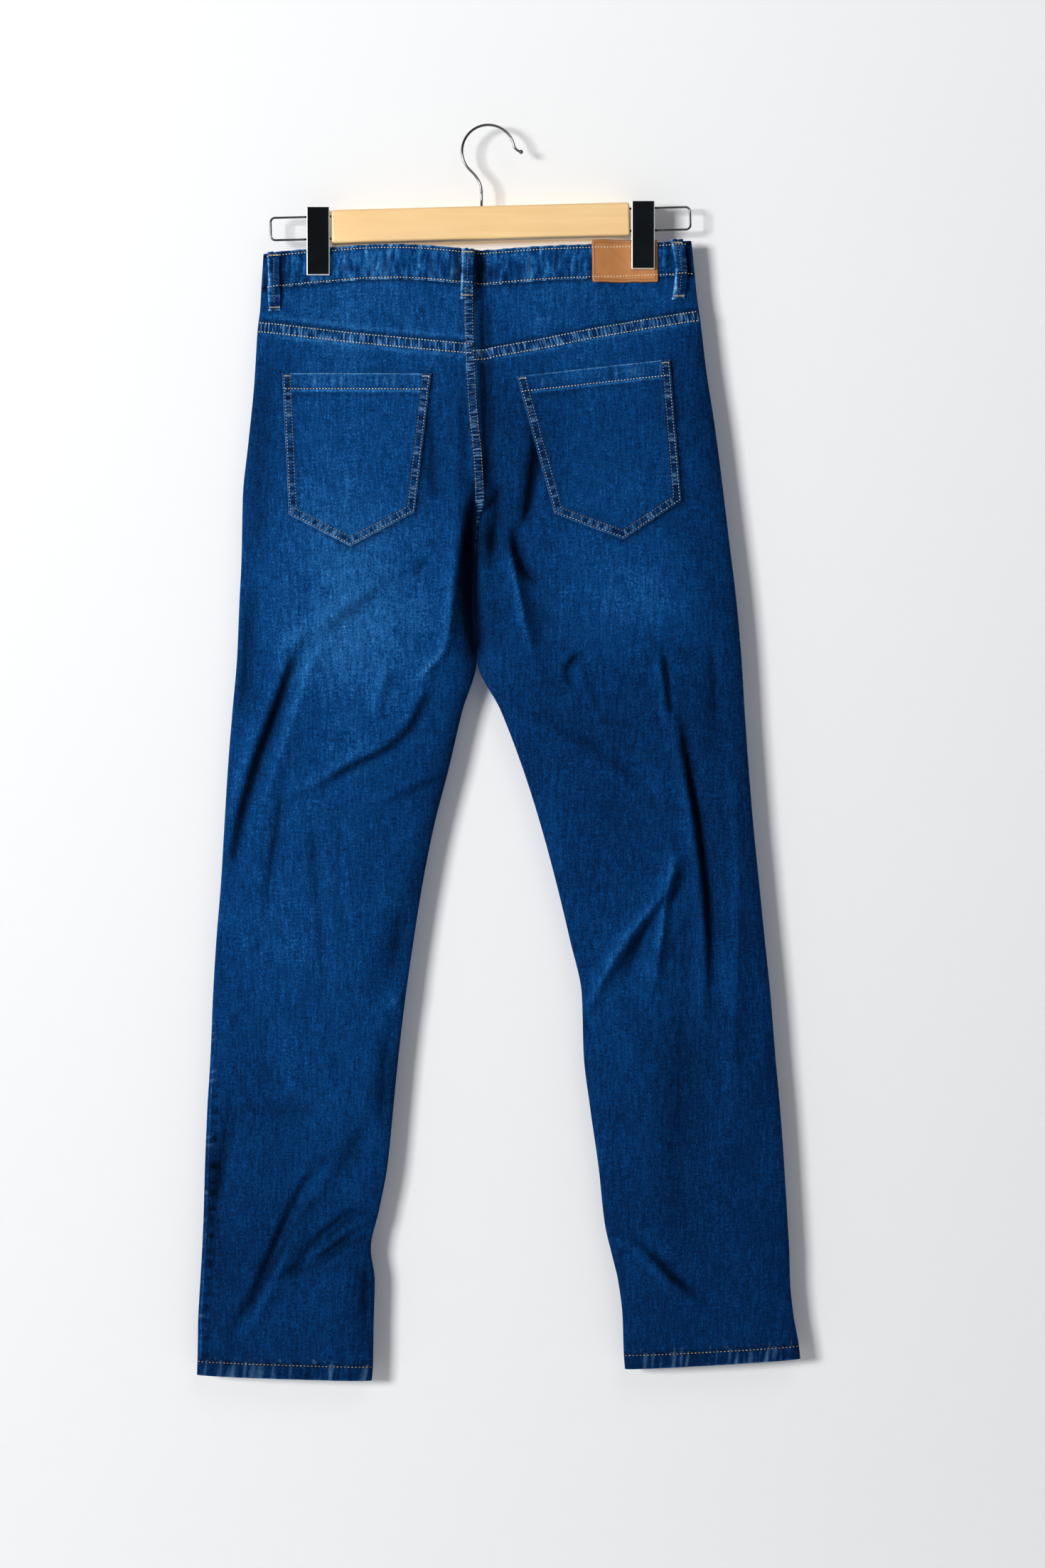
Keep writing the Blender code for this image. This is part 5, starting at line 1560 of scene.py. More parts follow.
@dataclass
class Waistband:
    """The waistband, its belt loops, the patch and the button."""

    shop: Workshop
    wall: float = 2.3
    proud: float = 0.8
    loop_width: float = 11.0

    def half(self, side: Side, face: Face, columns: int) -> Array:
        """Points of one half of the band's face, from the side seam inwards."""
        form = self.shop.form
        rows = 44
        drops = np.linspace(form.drop_of(side, "waist_top"), form.over(side, "waist_seam"), rows)
        points = form.grid(side, face, drops, columns)
        v = np.linspace(0, 1, rows)[:, None]
        puff = 0.5 * np.sin(np.pi * v) ** 0.4
        groove = sum(-0.45 * bell(v - place, 0.035) for place in (0.10, 0.94))
        x = points[..., 0]
        wave = 0.22 * ripple(x + 3 * v, 8.5, 11 + face.value) + 0.3 * ripple(x - 5 * v, 17, 5 + side.value)
        edge = np.sin(np.linspace(0, math.pi / 2, points.shape[1])) ** 0.3
        points[..., 1] += (self.proud + puff + groove + wave * (0.5 + 0.5 * np.sin(np.pi * v))) * edge
        points[..., 2] += 0.35 * ripple(x, 13, 21) * (1 - v) * edge
        return points

    def band(self, name: str, face: Face, points: Array) -> Sheet:
        """A sheet of the band with roping all over it, painted shade along its stitch rows and painted
        shadows beside the belt loops on the back.
        """
        rows = points.shape[0]
        v = np.linspace(0, 1, rows)[:, None]
        strength = 0.24 + 1.0 * bell(v, 0.06) + 0.9 * bell(1 - v, 0.06)
        tone = 0.30 * bell(v, 0.05) + 0.46 * bell(1 - v, 0.03)
        # painted shade along the stitch rows
        for place in BAND_ROWS:
            tone = tone - 0.65 * bell(v - place, 0.026)
        x = points[..., 0]
        if face is BACK:
            for place, width, depth in LOOP_SHADOWS:
                tone = tone - depth * bell(x - place, width)
        tone = tone + 0.10 * bell(v - 0.25, 0.2) - 0.08 * smooth_step(0.5, 0.9, v)
        return Sheet(name, face, points, x * 0.8 + 900, v * 9, np.broadcast_to(strength, x.shape), tone=tone)

    def build_bands(self) -> None:
        """The back of the band in one piece and its two front halves."""
        left, right = (self.half(side, BACK, 150) for side in Side)
        whole = np.hstack([left[:, :-1], right[:, ::-1][:, 1:]])
        denim = self.shop.finishes.band_denim
        sheet = self.band("waistband_back_cloth", BACK, whole)
        self.shop.cloth(sheet, self.wall, ("waistband_back",), (0.39, 0.034), denim)
        for side in Side:
            sheet = self.band(f"waistband_front_{side.word}_cloth", FRONT, self.half(side, FRONT, 120))
            self.shop.cloth(sheet, self.wall, (f"waistband_front_{side.word}",), (0.21, 0.034), denim)

    def build_loop(self, loop: BeltLoop, trees: list[BVHTree]) -> None:
        """One belt loop, sewn down at both ends and standing off between them.

        Args:
            loop: its row of the table.
            trees: the cloth under it.
        """
        top, low = loop.top, loop.low
        rows, columns = 64, 21
        t = np.linspace(0, 1, rows)[:, None]
        u = np.linspace(-1, 1, columns)[None, :]
        centre_x = top[0] + (low[0] - top[0]) * t + loop.bow * np.sin(np.pi * t)
        z = np.broadcast_to(top[1] + (low[1] - top[1]) * t, (rows, columns))
        z = z + 0.5 * ripple(u * 5, 4, 2) * (np.abs(t - 0.5) > 0.46)
        width = self.loop_width / 2 * (1 + 0.04 * np.sin(9 * t + top[0]) + 0.10 * bell(t - 1, 0.06))
        x = centre_x + u * width
        under = outermost_grid(trees, loop.face, x, z)
        level = under.max(axis=1, keepdims=True)
        belly = np.minimum(1.0, 1.6 * np.sin(np.pi * t))
        crown = 0.9 * (1 - np.abs(u) ** 3) - 0.35 * bell(u, 0.13)
        knot = 0.35 * bell(t - 0.05, 0.03) + 0.35 * bell(t - 0.95, 0.03)
        wave = 0.25 * ripple(z + 3 * u, 6.5, int(abs(top[0])))
        y = under * (1 - belly) + level * belly + 1.15 + 2.0 * belly + crown - knot + wave
        y = np.where(np.abs(u) > 0.99, under * (1 - belly) + level * belly + 0.1 + 2.0 * belly, y)
        points = np.stack([x, y, z], axis=-1)
        rope = np.broadcast_to(0.35 + 0.45 * np.abs(u), (rows, columns))
        # lighter edges, the left one more as a painted highlight from the key light; painted shade down the
        # stitched middle, over the right half and along the end tacks; lighter folded ends
        tone = 0.60 * bell(np.abs(u) - 0.82, 0.22) * (1 - 0.45 * (u > 0)) - 0.55 * bell(u, 0.2)
        tone = tone - 0.30 * smooth_step(0.15, 0.5, u)
        tone = tone + 0.35 * (bell(t, 0.03) + bell(1 - t, 0.03))
        for place in (0.055, 0.945):
            tone = tone - 0.55 * bell(t - place, 0.018)
        across = u * 5.0 * np.ones_like(t)
        sheet = Sheet(f"{loop.name}_cloth", loop.face, points, z + 3 * top[0], across, rope, tone=tone)
        flat = (0.0125, abs(top[1] - low[1]) * MM * 1.06 + 0.002)
        self.shop.cloth(sheet, 0.9, (loop.name,), flat, self.shop.finishes.band_denim)

    def build_loops(self) -> None:
        """All belt loops."""
        under = {face: self.shop.trees(face) for face in Face}
        for loop in BELT_LOOPS:
            self.build_loop(loop, under[loop.face])

    def build_patch(self) -> None:
        """The bare leather patch on the right of the band."""
        half_w, half_h = 29.0, 18.6
        cos, sin = math.cos(PATCH_TURN), math.sin(PATCH_TURN)
        form = self.shop.form
        u, v = np.linspace(-1, 1, 64)[None, :], np.linspace(1, -1, 44)[:, None]
        corner = 1 - 0.025 * (np.abs(u) ** 12 * np.abs(v) ** 12)
        a, b = u * half_w * corner, v * half_h * corner
        x = PATCH_CENTRE[0] + a * cos - b * sin
        z = PATCH_CENTRE[1] + a * sin + b * cos
        z = z + 0.25 * ripple(x, 21, 2) * np.abs(v) ** 4
        under = form.out_at(Side.RIGHT, BACK, x, np.clip(z, -131, -103))
        inset = np.minimum(half_w - np.abs(a), half_h - np.abs(b))
        lift = 0.35 + 1.25 * np.clip(inset / 0.7, 0, 1) ** 0.5 + 0.12 * ripple(x + z, 19, 8)
        groove = -0.3 * bell(half_h - np.abs(b) - 2.4, 0.7)
        points = np.stack([x, under + self.proud + lift + groove, z], axis=-1)
        sheet = Sheet("patch_leather", BACK, points, x, inset, np.zeros(x.shape))
        piece = give_wall(sheet.build(self.shop.finishes.leather), 1.1)
        self.shop.covers[BACK].append(piece)
        self.shop.finish_piece(piece, ("leather_patch",), "leather")

    def build_button(self) -> None:
        """A plain shank button, turned from a profile, on the front of the band."""
        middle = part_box("button")
        centre = (Vector(middle[0]) + Vector(middle[1])) / 2
        work = bmesh.new()
        ring = [work.verts.new(Vector((radius, height, 0)) * MM) for radius, height in BUTTON_PROFILE]
        for a, b in zip(ring[:-1], ring[1:]):
            work.edges.new((a, b))
        outline = work.verts[:] + work.edges[:]
        bmesh.ops.spin(work, geom=outline, axis=(0, 1, 0), cent=(0, 0, 0), angle=2 * math.pi, steps=48)
        bmesh.ops.remove_doubles(work, verts=work.verts, dist=0.01 * MM)
        bmesh.ops.recalc_face_normals(work, faces=work.faces)
        bmesh.ops.translate(work, verts=work.verts, vec=centre)
        piece = from_work("shank_button", work, self.shop.finishes.button)
        self.shop.finish_piece(piece, ("button",), "button_metal")

    def build(self) -> None:
        """The band with its patch and button; the belt loops and the stitching come later."""
        self.build_bands()
        self.build_patch()
        self.build_button()


def coons(top: Array, low: Array, left: Array, right: Array) -> Array:
    """A grid of points between four edges.

    Args:
        top: the upper edge as rows of (x, z), left to right.
        low: the lower edge, left to right.
        left: the left edge, top to bottom.
        right: the right edge, top to bottom.

    Returns:
        rows by columns by (x, z).
    """
    u = np.linspace(0, 1, len(top))[None, :, None]
    v = np.linspace(0, 1, len(left))[:, None, None]
    ruled = (1 - v) * top[None] + v * low[None] + (1 - u) * left[:, None] + u * right[:, None]
    corners = (1 - u) * (1 - v) * top[0] + u * (1 - v) * top[-1] + (1 - u) * v * low[0] + u * v * low[-1]
    return ruled - corners


def crowded(count: int) -> Array:
    """Places from 0 to 1 that lie closer together near both ends."""
    t = np.linspace(0, 1, count)
    return 0.45 * t + 0.55 * (0.5 - 0.5 * np.cos(np.pi * t))


@dataclass
class BackPocket:
    """A patch pocket with a hemmed mouth and a turned edge under two rows of stitches."""

    shop: Workshop
    side: Side
    outline: Path

    def build(self) -> None:
        """Makes the pocket on the seat."""
        corners = np.asarray(self.outline, float)
        rows, columns = 121, 131
        across = crowded(columns)
        t = across[:, None]
        top = corners[0] * (1 - t) + corners[1] * t
        half = across[: columns // 2 + 1]
        half = (half / half[-1])[:, None]
        low_left = corners[4] * (1 - half) + corners[3] * half
        late = (1 - half)[::-1]
        low_right = corners[3] * (1 - late) + corners[2] * late
        low = np.vstack([low_left, low_right[1:]])
        v = crowded(rows)[:, None]
        left = corners[0] * (1 - v) + corners[4] * v
        right = corners[1] * (1 - v) + corners[2] * v
        flat = coons(top, low, left, right)
        x, z = flat[..., 0], flat[..., 1]
        side_path = (*self.outline[1:], self.outline[0])
        away, run, _ = distance_to(side_path, x, z)
        from_top = distance_to(self.outline[:2], x, z)[0]
        inset = np.minimum(away, from_top)
        lift = 0.25 + 1.25 * np.clip(inset / 0.9, 0, 1) ** 0.5
        under_mouth = smooth_step(POCKET_MOUTH + 0.6, POCKET_MOUTH + 2.0, from_top)
        lift += 0.55 * (1 - smooth_step(8.6, 10.2, away)) + 0.55 * (1 - under_mouth)
        for row in POCKET_ROWS:
            lift -= 0.35 * bell(away - row, 0.75)
        lift -= 0.35 * bell(from_top - POCKET_MOUTH, 0.75)
        edge = bell(away - 4.4, 3.4)
        lift += 0.30 * edge * ripple(run + 0.8 * away, 7.0, 4 + self.side.value)
        lift += 0.28 * bell(from_top - 7, 6) * ripple(x + 2 * from_top, 9.0, 9 + self.side.value)
        lift *= np.clip(inset / 0.5, 0.2, 1)
        under = self.shop.form.out_at(self.side, BACK, x, z)
        points = np.stack([x, under + lift, z], axis=-1)
        sewn = bell(away - 4.4, 2.6)
        mouth = bell(from_top - 7, 5.5) * smooth_step(6.5, 8.5, away)
        rope = np.maximum(1.25 * sewn, 0.42 * mouth)
        run = np.where(mouth > 0.05, x * 0.8 + 700, run * 0.8)
        # lighter along the folded edge and just under the mouth's row; a darker sewn band; painted shade
        # along the stitch rows and under the mouth's hem
        tone = 0.55 * bell(inset, 0.9) + 0.10 * mouth - 0.20 * sewn
        for row, depth in zip(POCKET_ROWS, (0.6, 0.5)):
            tone = tone - depth * bell(away - row, 0.55)
        tone = tone - 0.45 * bell(from_top - POCKET_MOUTH, 0.6) * smooth_step(5, 8, away)
        tone = tone + 0.42 * bell(from_top - POCKET_MOUTH - 1.7, 1.0) * smooth_step(7, 9, away)
        tone = tone + 0.30 * bell(from_top, 1.5)
        tone = tone - 0.26 * bell(from_top - POCKET_MOUTH - 4.8, 2.2) * smooth_step(7, 9, away)
        sheet = Sheet(f"back_pocket_{self.side.word}_cloth", BACK, points, run, inset * 0.3, rope, tone=tone)
        self.shop.cloth(sheet, 0.7, (f"back_pocket_{self.side.word}",), (0.150, 0.165))


@dataclass
class Fly:
    """The outer layer of the fly, on the wearer's left."""

    shop: Workshop
    width: float = 34.0
    top: float = -152.5
    length: float = 138.0

    def build(self) -> None:
        """Makes the fly with its curved lower corner."""
        form = self.shop.form
        v, u = np.linspace(0, 1, 90)[:, None], np.linspace(0, 1, 30)[None, :]
        low = np.clip((v * self.length - self.length + self.width) / self.width, 0, 0.985)
        curve = self.width * (1 - np.sqrt(np.clip(1 - low**2, 0, 1)))
        z = self.top - v * self.length + 0 * u
        centre = form.section(Side.LEFT, -z).inner_x - 0.6
        outer = centre - self.width + curve
        x = centre + (outer - centre) * u
        under = form.out_at(Side.LEFT, FRONT, x, z)
        inset = np.minimum(np.abs(x - outer), 40)
        pucker = 0.25 * ripple(z + x, 12, 5) * np.exp(-inset / 8)
        lift = 0.3 + 1.1 * np.clip(inset / 0.8, 0, 1) ** 0.5 + pucker
        points = np.stack([x, under + lift, z], axis=-1)
        sheet = Sheet("fly_cloth", FRONT, points, z, inset, 0.8 * bell(inset, 6))
        self.shop.cloth(sheet, 0.7, ("fly",), (0.036, 0.140))


@dataclass
class FelledSeam:
    """A flat-felled seam: a narrow raised band over the join of two panels."""

    shop: Workshop
    name: str
    face: Face
    path: Path
    half_width: float
    seed: int
    sinks_below: float | None = None
    pale: float = 0.85
    slim: float = 1.0
    spacing: float = 1.1

    def build(self) -> None:
        """Makes the band along its path, narrower where it sinks into the cleft, with painted shade there."""
        line = smooth_path(self.path, self.spacing)
        heading = headings(line)
        normal = np.stack([-heading[:, 1], heading[:, 0]], axis=1)
        half = np.array([0.2, 0.42, 0.6, 0.7, 0.76, 0.82, 0.88, 0.94, 1.0])
        across = np.concatenate([-half[::-1], [0], half]) * self.half_width
        sunk = np.zeros((len(line), 1))
        if self.sinks_below is not None:
            sunk = smooth_step(0, 26, self.sinks_below - line[:, 1:])
        spots = line[:, None] + normal[:, None] * across[None, :, None] * (1 - 0.8 * sunk)[..., None]
        x, z = spots[..., 0], spots[..., 1]
        trees = self.shop.trees(self.face)
        reach = outermost_grid(trees, self.face, x, z)
        run = np.arange(len(line))[:, None] * self.spacing
        share = np.abs(across[None, :]) / self.half_width
        lift = 0.85 * (1 - smooth_step(0.86, 1.0, share)) - 0.3 * bell(share - 0.82, 0.07)
        lift = lift + 0.22 * ripple(run + 1.2 * across[None, :], 6.5, self.seed) * (1 - share**4)
        points = np.stack([x, reach + lift, z], axis=-1)
        rope = np.broadcast_to(1.9 - 0.6 * share, x.shape)
        run = np.broadcast_to(run * 1.7 + 1300 + 300 * self.seed, x.shape)
        # lighter edges, one side twice as light as a painted highlight; painted shade along the stitch rows
        # and where the band sinks into the cleft
        tone = 0.55 * smooth_step(0.90, 0.97, share) * np.where(across[None, :] < 0, 1.0, 0.5)
        tone = np.broadcast_to(tone - 0.7 * bell(share - 0.8, 0.09), x.shape) - 0.8 * sunk
        rise = np.broadcast_to(across[None, :], x.shape)
        sheet = Sheet(self.name, self.face, points, run, rise, rope, tone=tone)
        piece = give_wall(sheet.build(self.shop.finishes.denim), 0.6)
        flat = (max(0.0101, 2.1 * self.half_width * MM), len(line) * self.spacing * MM)
        self.shop.covers[self.face].append(piece)
        self.shop.finish_piece(piece)


class Stitch(NamedTuple):
    """One stitch: where it lies, which way it runs, and its half length and half width, in millimetres."""

    spot: tuple[float, float, float]
    along: tuple[float, float, float]
    half_length: float
    half_width: float
    pale: float


@dataclass
class Stitching:
    """Rows of topstitching and bar tacks, laid on the cloth pieces of one face."""

    shop: Workshop
    name: str
    face: Face
    pitch: float = 2.7
    half_width: float = 0.45
    pale: float = 0.85
    made: list[Stitch] = field(default_factory=list)
    trees: list[BVHTree] = field(default_factory=list)

    def out_at(self, x: float, z: float) -> float | None:
        """How far out the cloth lies at (x, z)."""
        if not self.trees:
            self.trees = self.shop.trees(self.face)
        return outermost(self.trees, self.face, x, z)

    def row(
        self,
        path: Path | Array,
        smooth: bool = True,
        pitch: float | None = None,
        pale: float | None = None,
        slim: float = 1.0,
    ) -> None:
        """A row of stitches along a path.

        Args:
            path: points of the row in the XZ plane.
            smooth: whether the path bends smoothly at its points.
            pitch: length of a stitch with its gap, in millimetres.
            pale: how pale the thread is.
            slim: scale of the thread's thickness.
        """
        pitch = pitch or self.pitch
        pale = self.pale if pale is None else pale
        corners = tuple(map(tuple, smooth_path(path, 1.0) if smooth else np.asarray(path, float)))
        line = walk(corners, pitch / 2)[0]
        outs = [self.out_at(float(x), float(z)) for x, z in line]
        for k in range(1, len(line) - 1, 2):
            near = [outs[k - 1], outs[k], outs[k + 1]]
            if any(reach is None for reach in near):
                continue
            turn = math.sin(12.9 * k + line[k][0]) * 0.06
            dx, dz = line[k + 1] - line[k - 1]
            along = (dx - dz * turn, self.face.value * (near[2] - near[0]), dz + dx * turn)
            out = self.face.value * (max(near[1], (near[0] + near[2]) / 2) + 0.10)
            tint = pale + 0.25 * math.sin(7.3 * k) * math.sin(1.9 * k)
            spot = (line[k][0], out, line[k][1])
            self.made.append(Stitch(spot, along, pitch * 0.29, self.half_width * slim, tint))

    def tack(
        self, centre: tuple[float, float], heading: tuple[float, float], length: float, width: float
    ) -> None:
        """A bar tack: close threads across a short line.

        Args:
            centre: its middle.
            heading: direction of the line.
            length: length of the line.
            width: length of each thread.
        """
        size = math.hypot(*heading)
        ux, uz = heading[0] / size, heading[1] / size
        count = max(3, int(length / 0.62))
        for k in range(count):
            t = (k / (count - 1) - 0.5) * length
            x, z = centre[0] + ux * t, centre[1] + uz * t
            out = self.out_at(x, z)
            if out is not None:
                lean = 0.25 if k % 2 else -0.25
                along = (-uz + ux * lean, 0.0, ux + uz * lean)
                spot = (x, self.face.value * (out + 0.12), z)
                self.made.append(Stitch(spot, along, width / 2, self.half_width * 0.7, 0.35 + lean))

    def build(self) -> bpy.types.Object:
        """Turns the stitches into one mesh by a Geometry Nodes tree."""
        mesh = bpy.data.meshes.new(self.name)
        mesh.from_pydata([tuple(value * MM for value in s.spot) for s in self.made], [], [])
        along = mesh.attributes.new("along", "FLOAT_VECTOR", "POINT")
        along.data.foreach_set("vector", np.array([s.along for s in self.made], float).ravel())
        size = np.array([(s.half_length, s.half_width, s.half_width * 0.8) for s in self.made]) * MM
        mesh.attributes.new("size", "FLOAT_VECTOR", "POINT").data.foreach_set("vector", size.ravel())
        mesh.attributes.new("pale", "FLOAT", "POINT").data.foreach_set("value", [s.pale for s in self.made])
        points = put_in_scene(f"{self.name}_points", mesh)
        group = stitch_tree(self.shop.finishes.thread)
        modifier = points.modifiers.new("stitches", "NODES")
        modifier.node_group = group
        inputs = (item for item in group.interface.items_tree if item.in_out == "INPUT")
        sockets = {item.name: item.identifier for item in inputs}
        modifier[sockets["Segments"]] = 6
        modifier[sockets["Rings"]] = 4
        bpy.context.view_layer.update()
        plain = bpy.data.meshes.new_from_object(points.evaluated_get(bpy.context.evaluated_depsgraph_get()))
        bpy.data.objects.remove(points)
        return self.shop.finish_piece(put_in_scene(self.name, plain))


def stitch_tree(thread: bpy.types.Material) -> bpy.types.NodeTree:
    """A tree that puts a small rounded stitch on every point, turned and sized by its attributes."""
    tree = bpy.data.node_groups.new("stitch_on_points", "GeometryNodeTree")
    tree.interface.new_socket("Geometry", in_out="INPUT", socket_type="NodeSocketGeometry")
    for word, value in (("Segments", 6), ("Rings", 4)):
        tree.interface.new_socket(word, in_out="INPUT", socket_type="NodeSocketInt").default_value = value
    tree.interface.new_socket("Geometry", in_out="OUTPUT", socket_type="NodeSocketGeometry")
    nodes = tree.nodes
    entry, leave = nodes.new("NodeGroupInput"), nodes.new("NodeGroupOutput")
    ball = nodes.new("GeometryNodeMeshUVSphere")
    ball.inputs["Radius"].default_value = 1.0
    quarter = nodes.new("GeometryNodeTransform")
    quarter.inputs["Rotation"].default_value = (0, math.pi / 2, 0)
    along, size = (nodes.new("GeometryNodeInputNamedAttribute") for _ in range(2))
    for node, word in ((along, "along"), (size, "size")):
        node.data_type = "FLOAT_VECTOR"
        node.inputs["Name"].default_value = word
    turn = nodes.new("FunctionNodeAlignRotationToVector")
    turn.axis = "X"
    spread = nodes.new("GeometryNodeInstanceOnPoints")
    real = nodes.new("GeometryNodeRealizeInstances")
    smooth = nodes.new("GeometryNodeSetShadeSmooth")
    dress = nodes.new("GeometryNodeSetMaterial")
    dress.inputs["Material"].default_value = thread
    for source, output, target, socket in (
        (entry, "Segments", ball, "Segments"),
        (entry, "Rings", ball, "Rings"),
        (ball, "Mesh", quarter, "Geometry"),
        (entry, "Geometry", spread, "Points"),
        (quarter, "Geometry", spread, "Instance"),
        (along, "Attribute", turn, "Vector"),
        (turn, "Rotation", spread, "Rotation"),
        (size, "Attribute", spread, "Scale"),
        (spread, "Instances", real, "Geometry"),
        (real, "Geometry", smooth, "Geometry"),
        (smooth, "Geometry", dress, "Geometry"),
        (dress, "Geometry", leave, "Geometry"),
    ):
        tree.links.new(source.outputs[output], target.inputs[socket])
    return tree


@dataclass
class Topstitching:
    """Where the garment's rows of stitches run."""

    shop: Workshop
    seams: tuple[FelledSeam, ...]

    def band_row(self, side: Side, face: Face, share: float, inset: float = 2.5) -> Path:
        """A row along one half of the waistband, at a share of its height from the top."""
        form = self.shop.form
        top, low = form.drop_of(side, "waist_top"), form.drop_of(side, "waist_seam")
        line = form.grid(side, face, np.array([top + (low - top) * share]), 60)[0][:, [0, 2]]
        keep = np.abs(line[:, 0] - form.tables[side][0].outer_x) > inset
        return tuple(map(tuple, line[keep]))

    def back(self) -> Stitching:
        """Every row on the back."""
        made = Stitching(self.shop, "stitches_back", BACK)
        for share in BAND_ROWS:
            left, right = (self.band_row(side, BACK, share) for side in Side)
            made.row((*left[:-1], *right[::-1][1:]), smooth=False)
        for seam in self.seams:
            sewn = tuple(p for p in seam.path if p[1] > -340)
            for side in (-0.80, 0.80):
                made.row(offset_path(sewn, side * seam.half_width), pale=seam.pale, slim=seam.slim)
        for outline in (LEFT_POCKET, RIGHT_POCKET):
            self.pocket(made, outline)
        self.loops(made)
        return made

    def pocket(self, made: Stitching, outline: Path) -> None:
        """Two rows round a back pocket, a row along its mouth and tacks at its upper corners."""
        sides = (*outline[1:], outline[0])
        for inset, pale, slim in zip(POCKET_ROWS, (0.45, 0.1), (0.76, 0.56)):
            line = np.asarray(offset_path(sides, -inset))
            line[0] += unit(line[1] - line[0]) * 2.4
            line[-1] += unit(line[-2] - line[-1]) * 2.4
            made.row(line, smooth=False, pale=pale, slim=slim)
        mouth = np.asarray(offset_path(outline[:2], -POCKET_MOUTH))
        run = unit(mouth[1] - mouth[0])
        made.row((mouth[0] + run * 2.4, mouth[1] - run * 2.4), smooth=False, pale=0.7)
        for corner, inner in ((outline[0], 1), (outline[1], -1)):
            heading = unit(np.asarray(outline[4] if inner == 1 else outline[2]) - np.asarray(corner))
            spot = np.asarray(corner) + run * inner * 4.6 + heading * 2.6
            made.tack(tuple(spot), tuple(run), 5.8, 1.3)

    def loops(self, made: Stitching) -> None:
        """The tacks at the ends of one face's belt loops and the row down the middle of each."""
        for loop in BELT_LOOPS:
            if loop.face is not made.face:
                continue
            (x0, z0), (x1, z1) = loop.top, loop.low
            made.tack((x0, z0 - 2.9), (1, 0), 9.0, 1.4)
            made.tack((x1, z1 + 2.9), (1, 0), 9.0, 1.4)
            share = np.linspace(0.1, 0.9, 16)
            line = [
                (x0 + (x1 - x0) * t + loop.bow * math.sin(math.pi * t), z0 + (z1 - z0) * t)
                for t in share
            ]
            made.row(line, pale=0.15, slim=0.48)

    def hems(self, made: Stitching) -> None:
        """The row round each hem, as seen on one face."""
        form = self.shop.form
        for side in Side:
            drop = form.drop_of(side, "hem_seam") + 1.9
            line = form.grid(side, made.face, np.array([drop]), 60)[0][2:-2, [0, 2]]
            made.row(line, smooth=False, pitch=3.2, pale=0.2, slim=0.75)

    def front(self) -> Stitching:
        """Every row on the front."""
        made = Stitching(self.shop, "stitches_front", FRONT)
        for share in BAND_ROWS:
            for side in Side:
                made.row(self.band_row(side, FRONT, share)[:-1], smooth=False)
        for side in Side:
            corner = self.shop.form.tables[side][1]
            for grow in (1.8, 7.6):
                angle = np.linspace(0.02, math.pi / 2 - 0.03, 40)
                x = corner.outer_x - side.value * (SCOOP[0] + grow) * np.sin(angle)
                z = corner.outer_z - (SCOOP[1] + grow) * np.cos(angle)
                made.row(np.stack([x, z], axis=1)[1:], smooth=False)
        for inset in (2.0, 7.0):
            edge = ((-46, -155), (-45.5, -252), (-42, -270), (-33, -283))
            made.row((*((x + inset, z) for x, z in edge), (-17, -290 + inset)))
        made.row(((-8, -296), (-9.5, -360), (-9, -430)))
        self.loops(made)
        return made

    def patch(self, made: Stitching) -> None:
        """Rows inside the upper and lower edges of the leather patch."""
        (x, z), cos, sin = PATCH_CENTRE, math.cos(PATCH_TURN), math.sin(PATCH_TURN)
        for height in (-16.0, 16.0):
            ends = [(x + u * cos - height * sin, z + u * sin + height * cos) for u in (-27, 27)]
            made.row(ends, smooth=False, pale=-0.2, slim=0.52)

    def build(self) -> None:
        """Lays every row."""
        back, front = self.back(), self.front()
        self.patch(back)
        for made in (back, front):
            self.hems(made)
            made.build()


@dataclass
class Wire:
    """A round wire of steel along a route, with an optional ball at its start."""

    name: str
    route: list[tuple[float, float, float]]
    radius: float
    ball: float = 0.0

    def build(self, finish: bpy.types.Material, sides: int = 20) -> bpy.types.Object:
        """Makes a closed tube.

        Args:
            finish: the wire's material.
            sides: faces around the wire.

        Returns:
            The new object.
        """
        line = np.asarray(self.route, float)
        heading = np.gradient(line, axis=0)
        heading /= np.linalg.norm(heading, axis=1)[:, None]
        out = np.array([0, 1.0, 0])
        width = np.cross(heading, out)
        width /= np.linalg.norm(width, axis=1)[:, None]
        angle = np.linspace(0, 2 * math.pi, sides, endpoint=False)[None, :, None]
        rings = line[:, None] + self.radius * (width[:, None] * np.cos(angle) + out * np.sin(angle))
        work = bmesh.new()
        rows = [[work.verts.new(Vector(point) * MM) for point in ring] for ring in rings]
        for a, b in zip(rows[:-1], rows[1:]):
            for k in range(sides):
                work.faces.new((a[k], a[(k + 1) % sides], b[(k + 1) % sides], b[k]))
        work.faces.new(rows[0])
        work.faces.new(rows[-1][::-1])
        if self.ball:
            place = Matrix.Translation(Vector(self.route[0]) * MM)
            bmesh.ops.create_uvsphere(work, u_segments=28, v_segments=18, radius=self.ball * MM, matrix=place)
        bmesh.ops.recalc_face_normals(work, faces=work.faces)
        return from_work(self.name, work, finish)


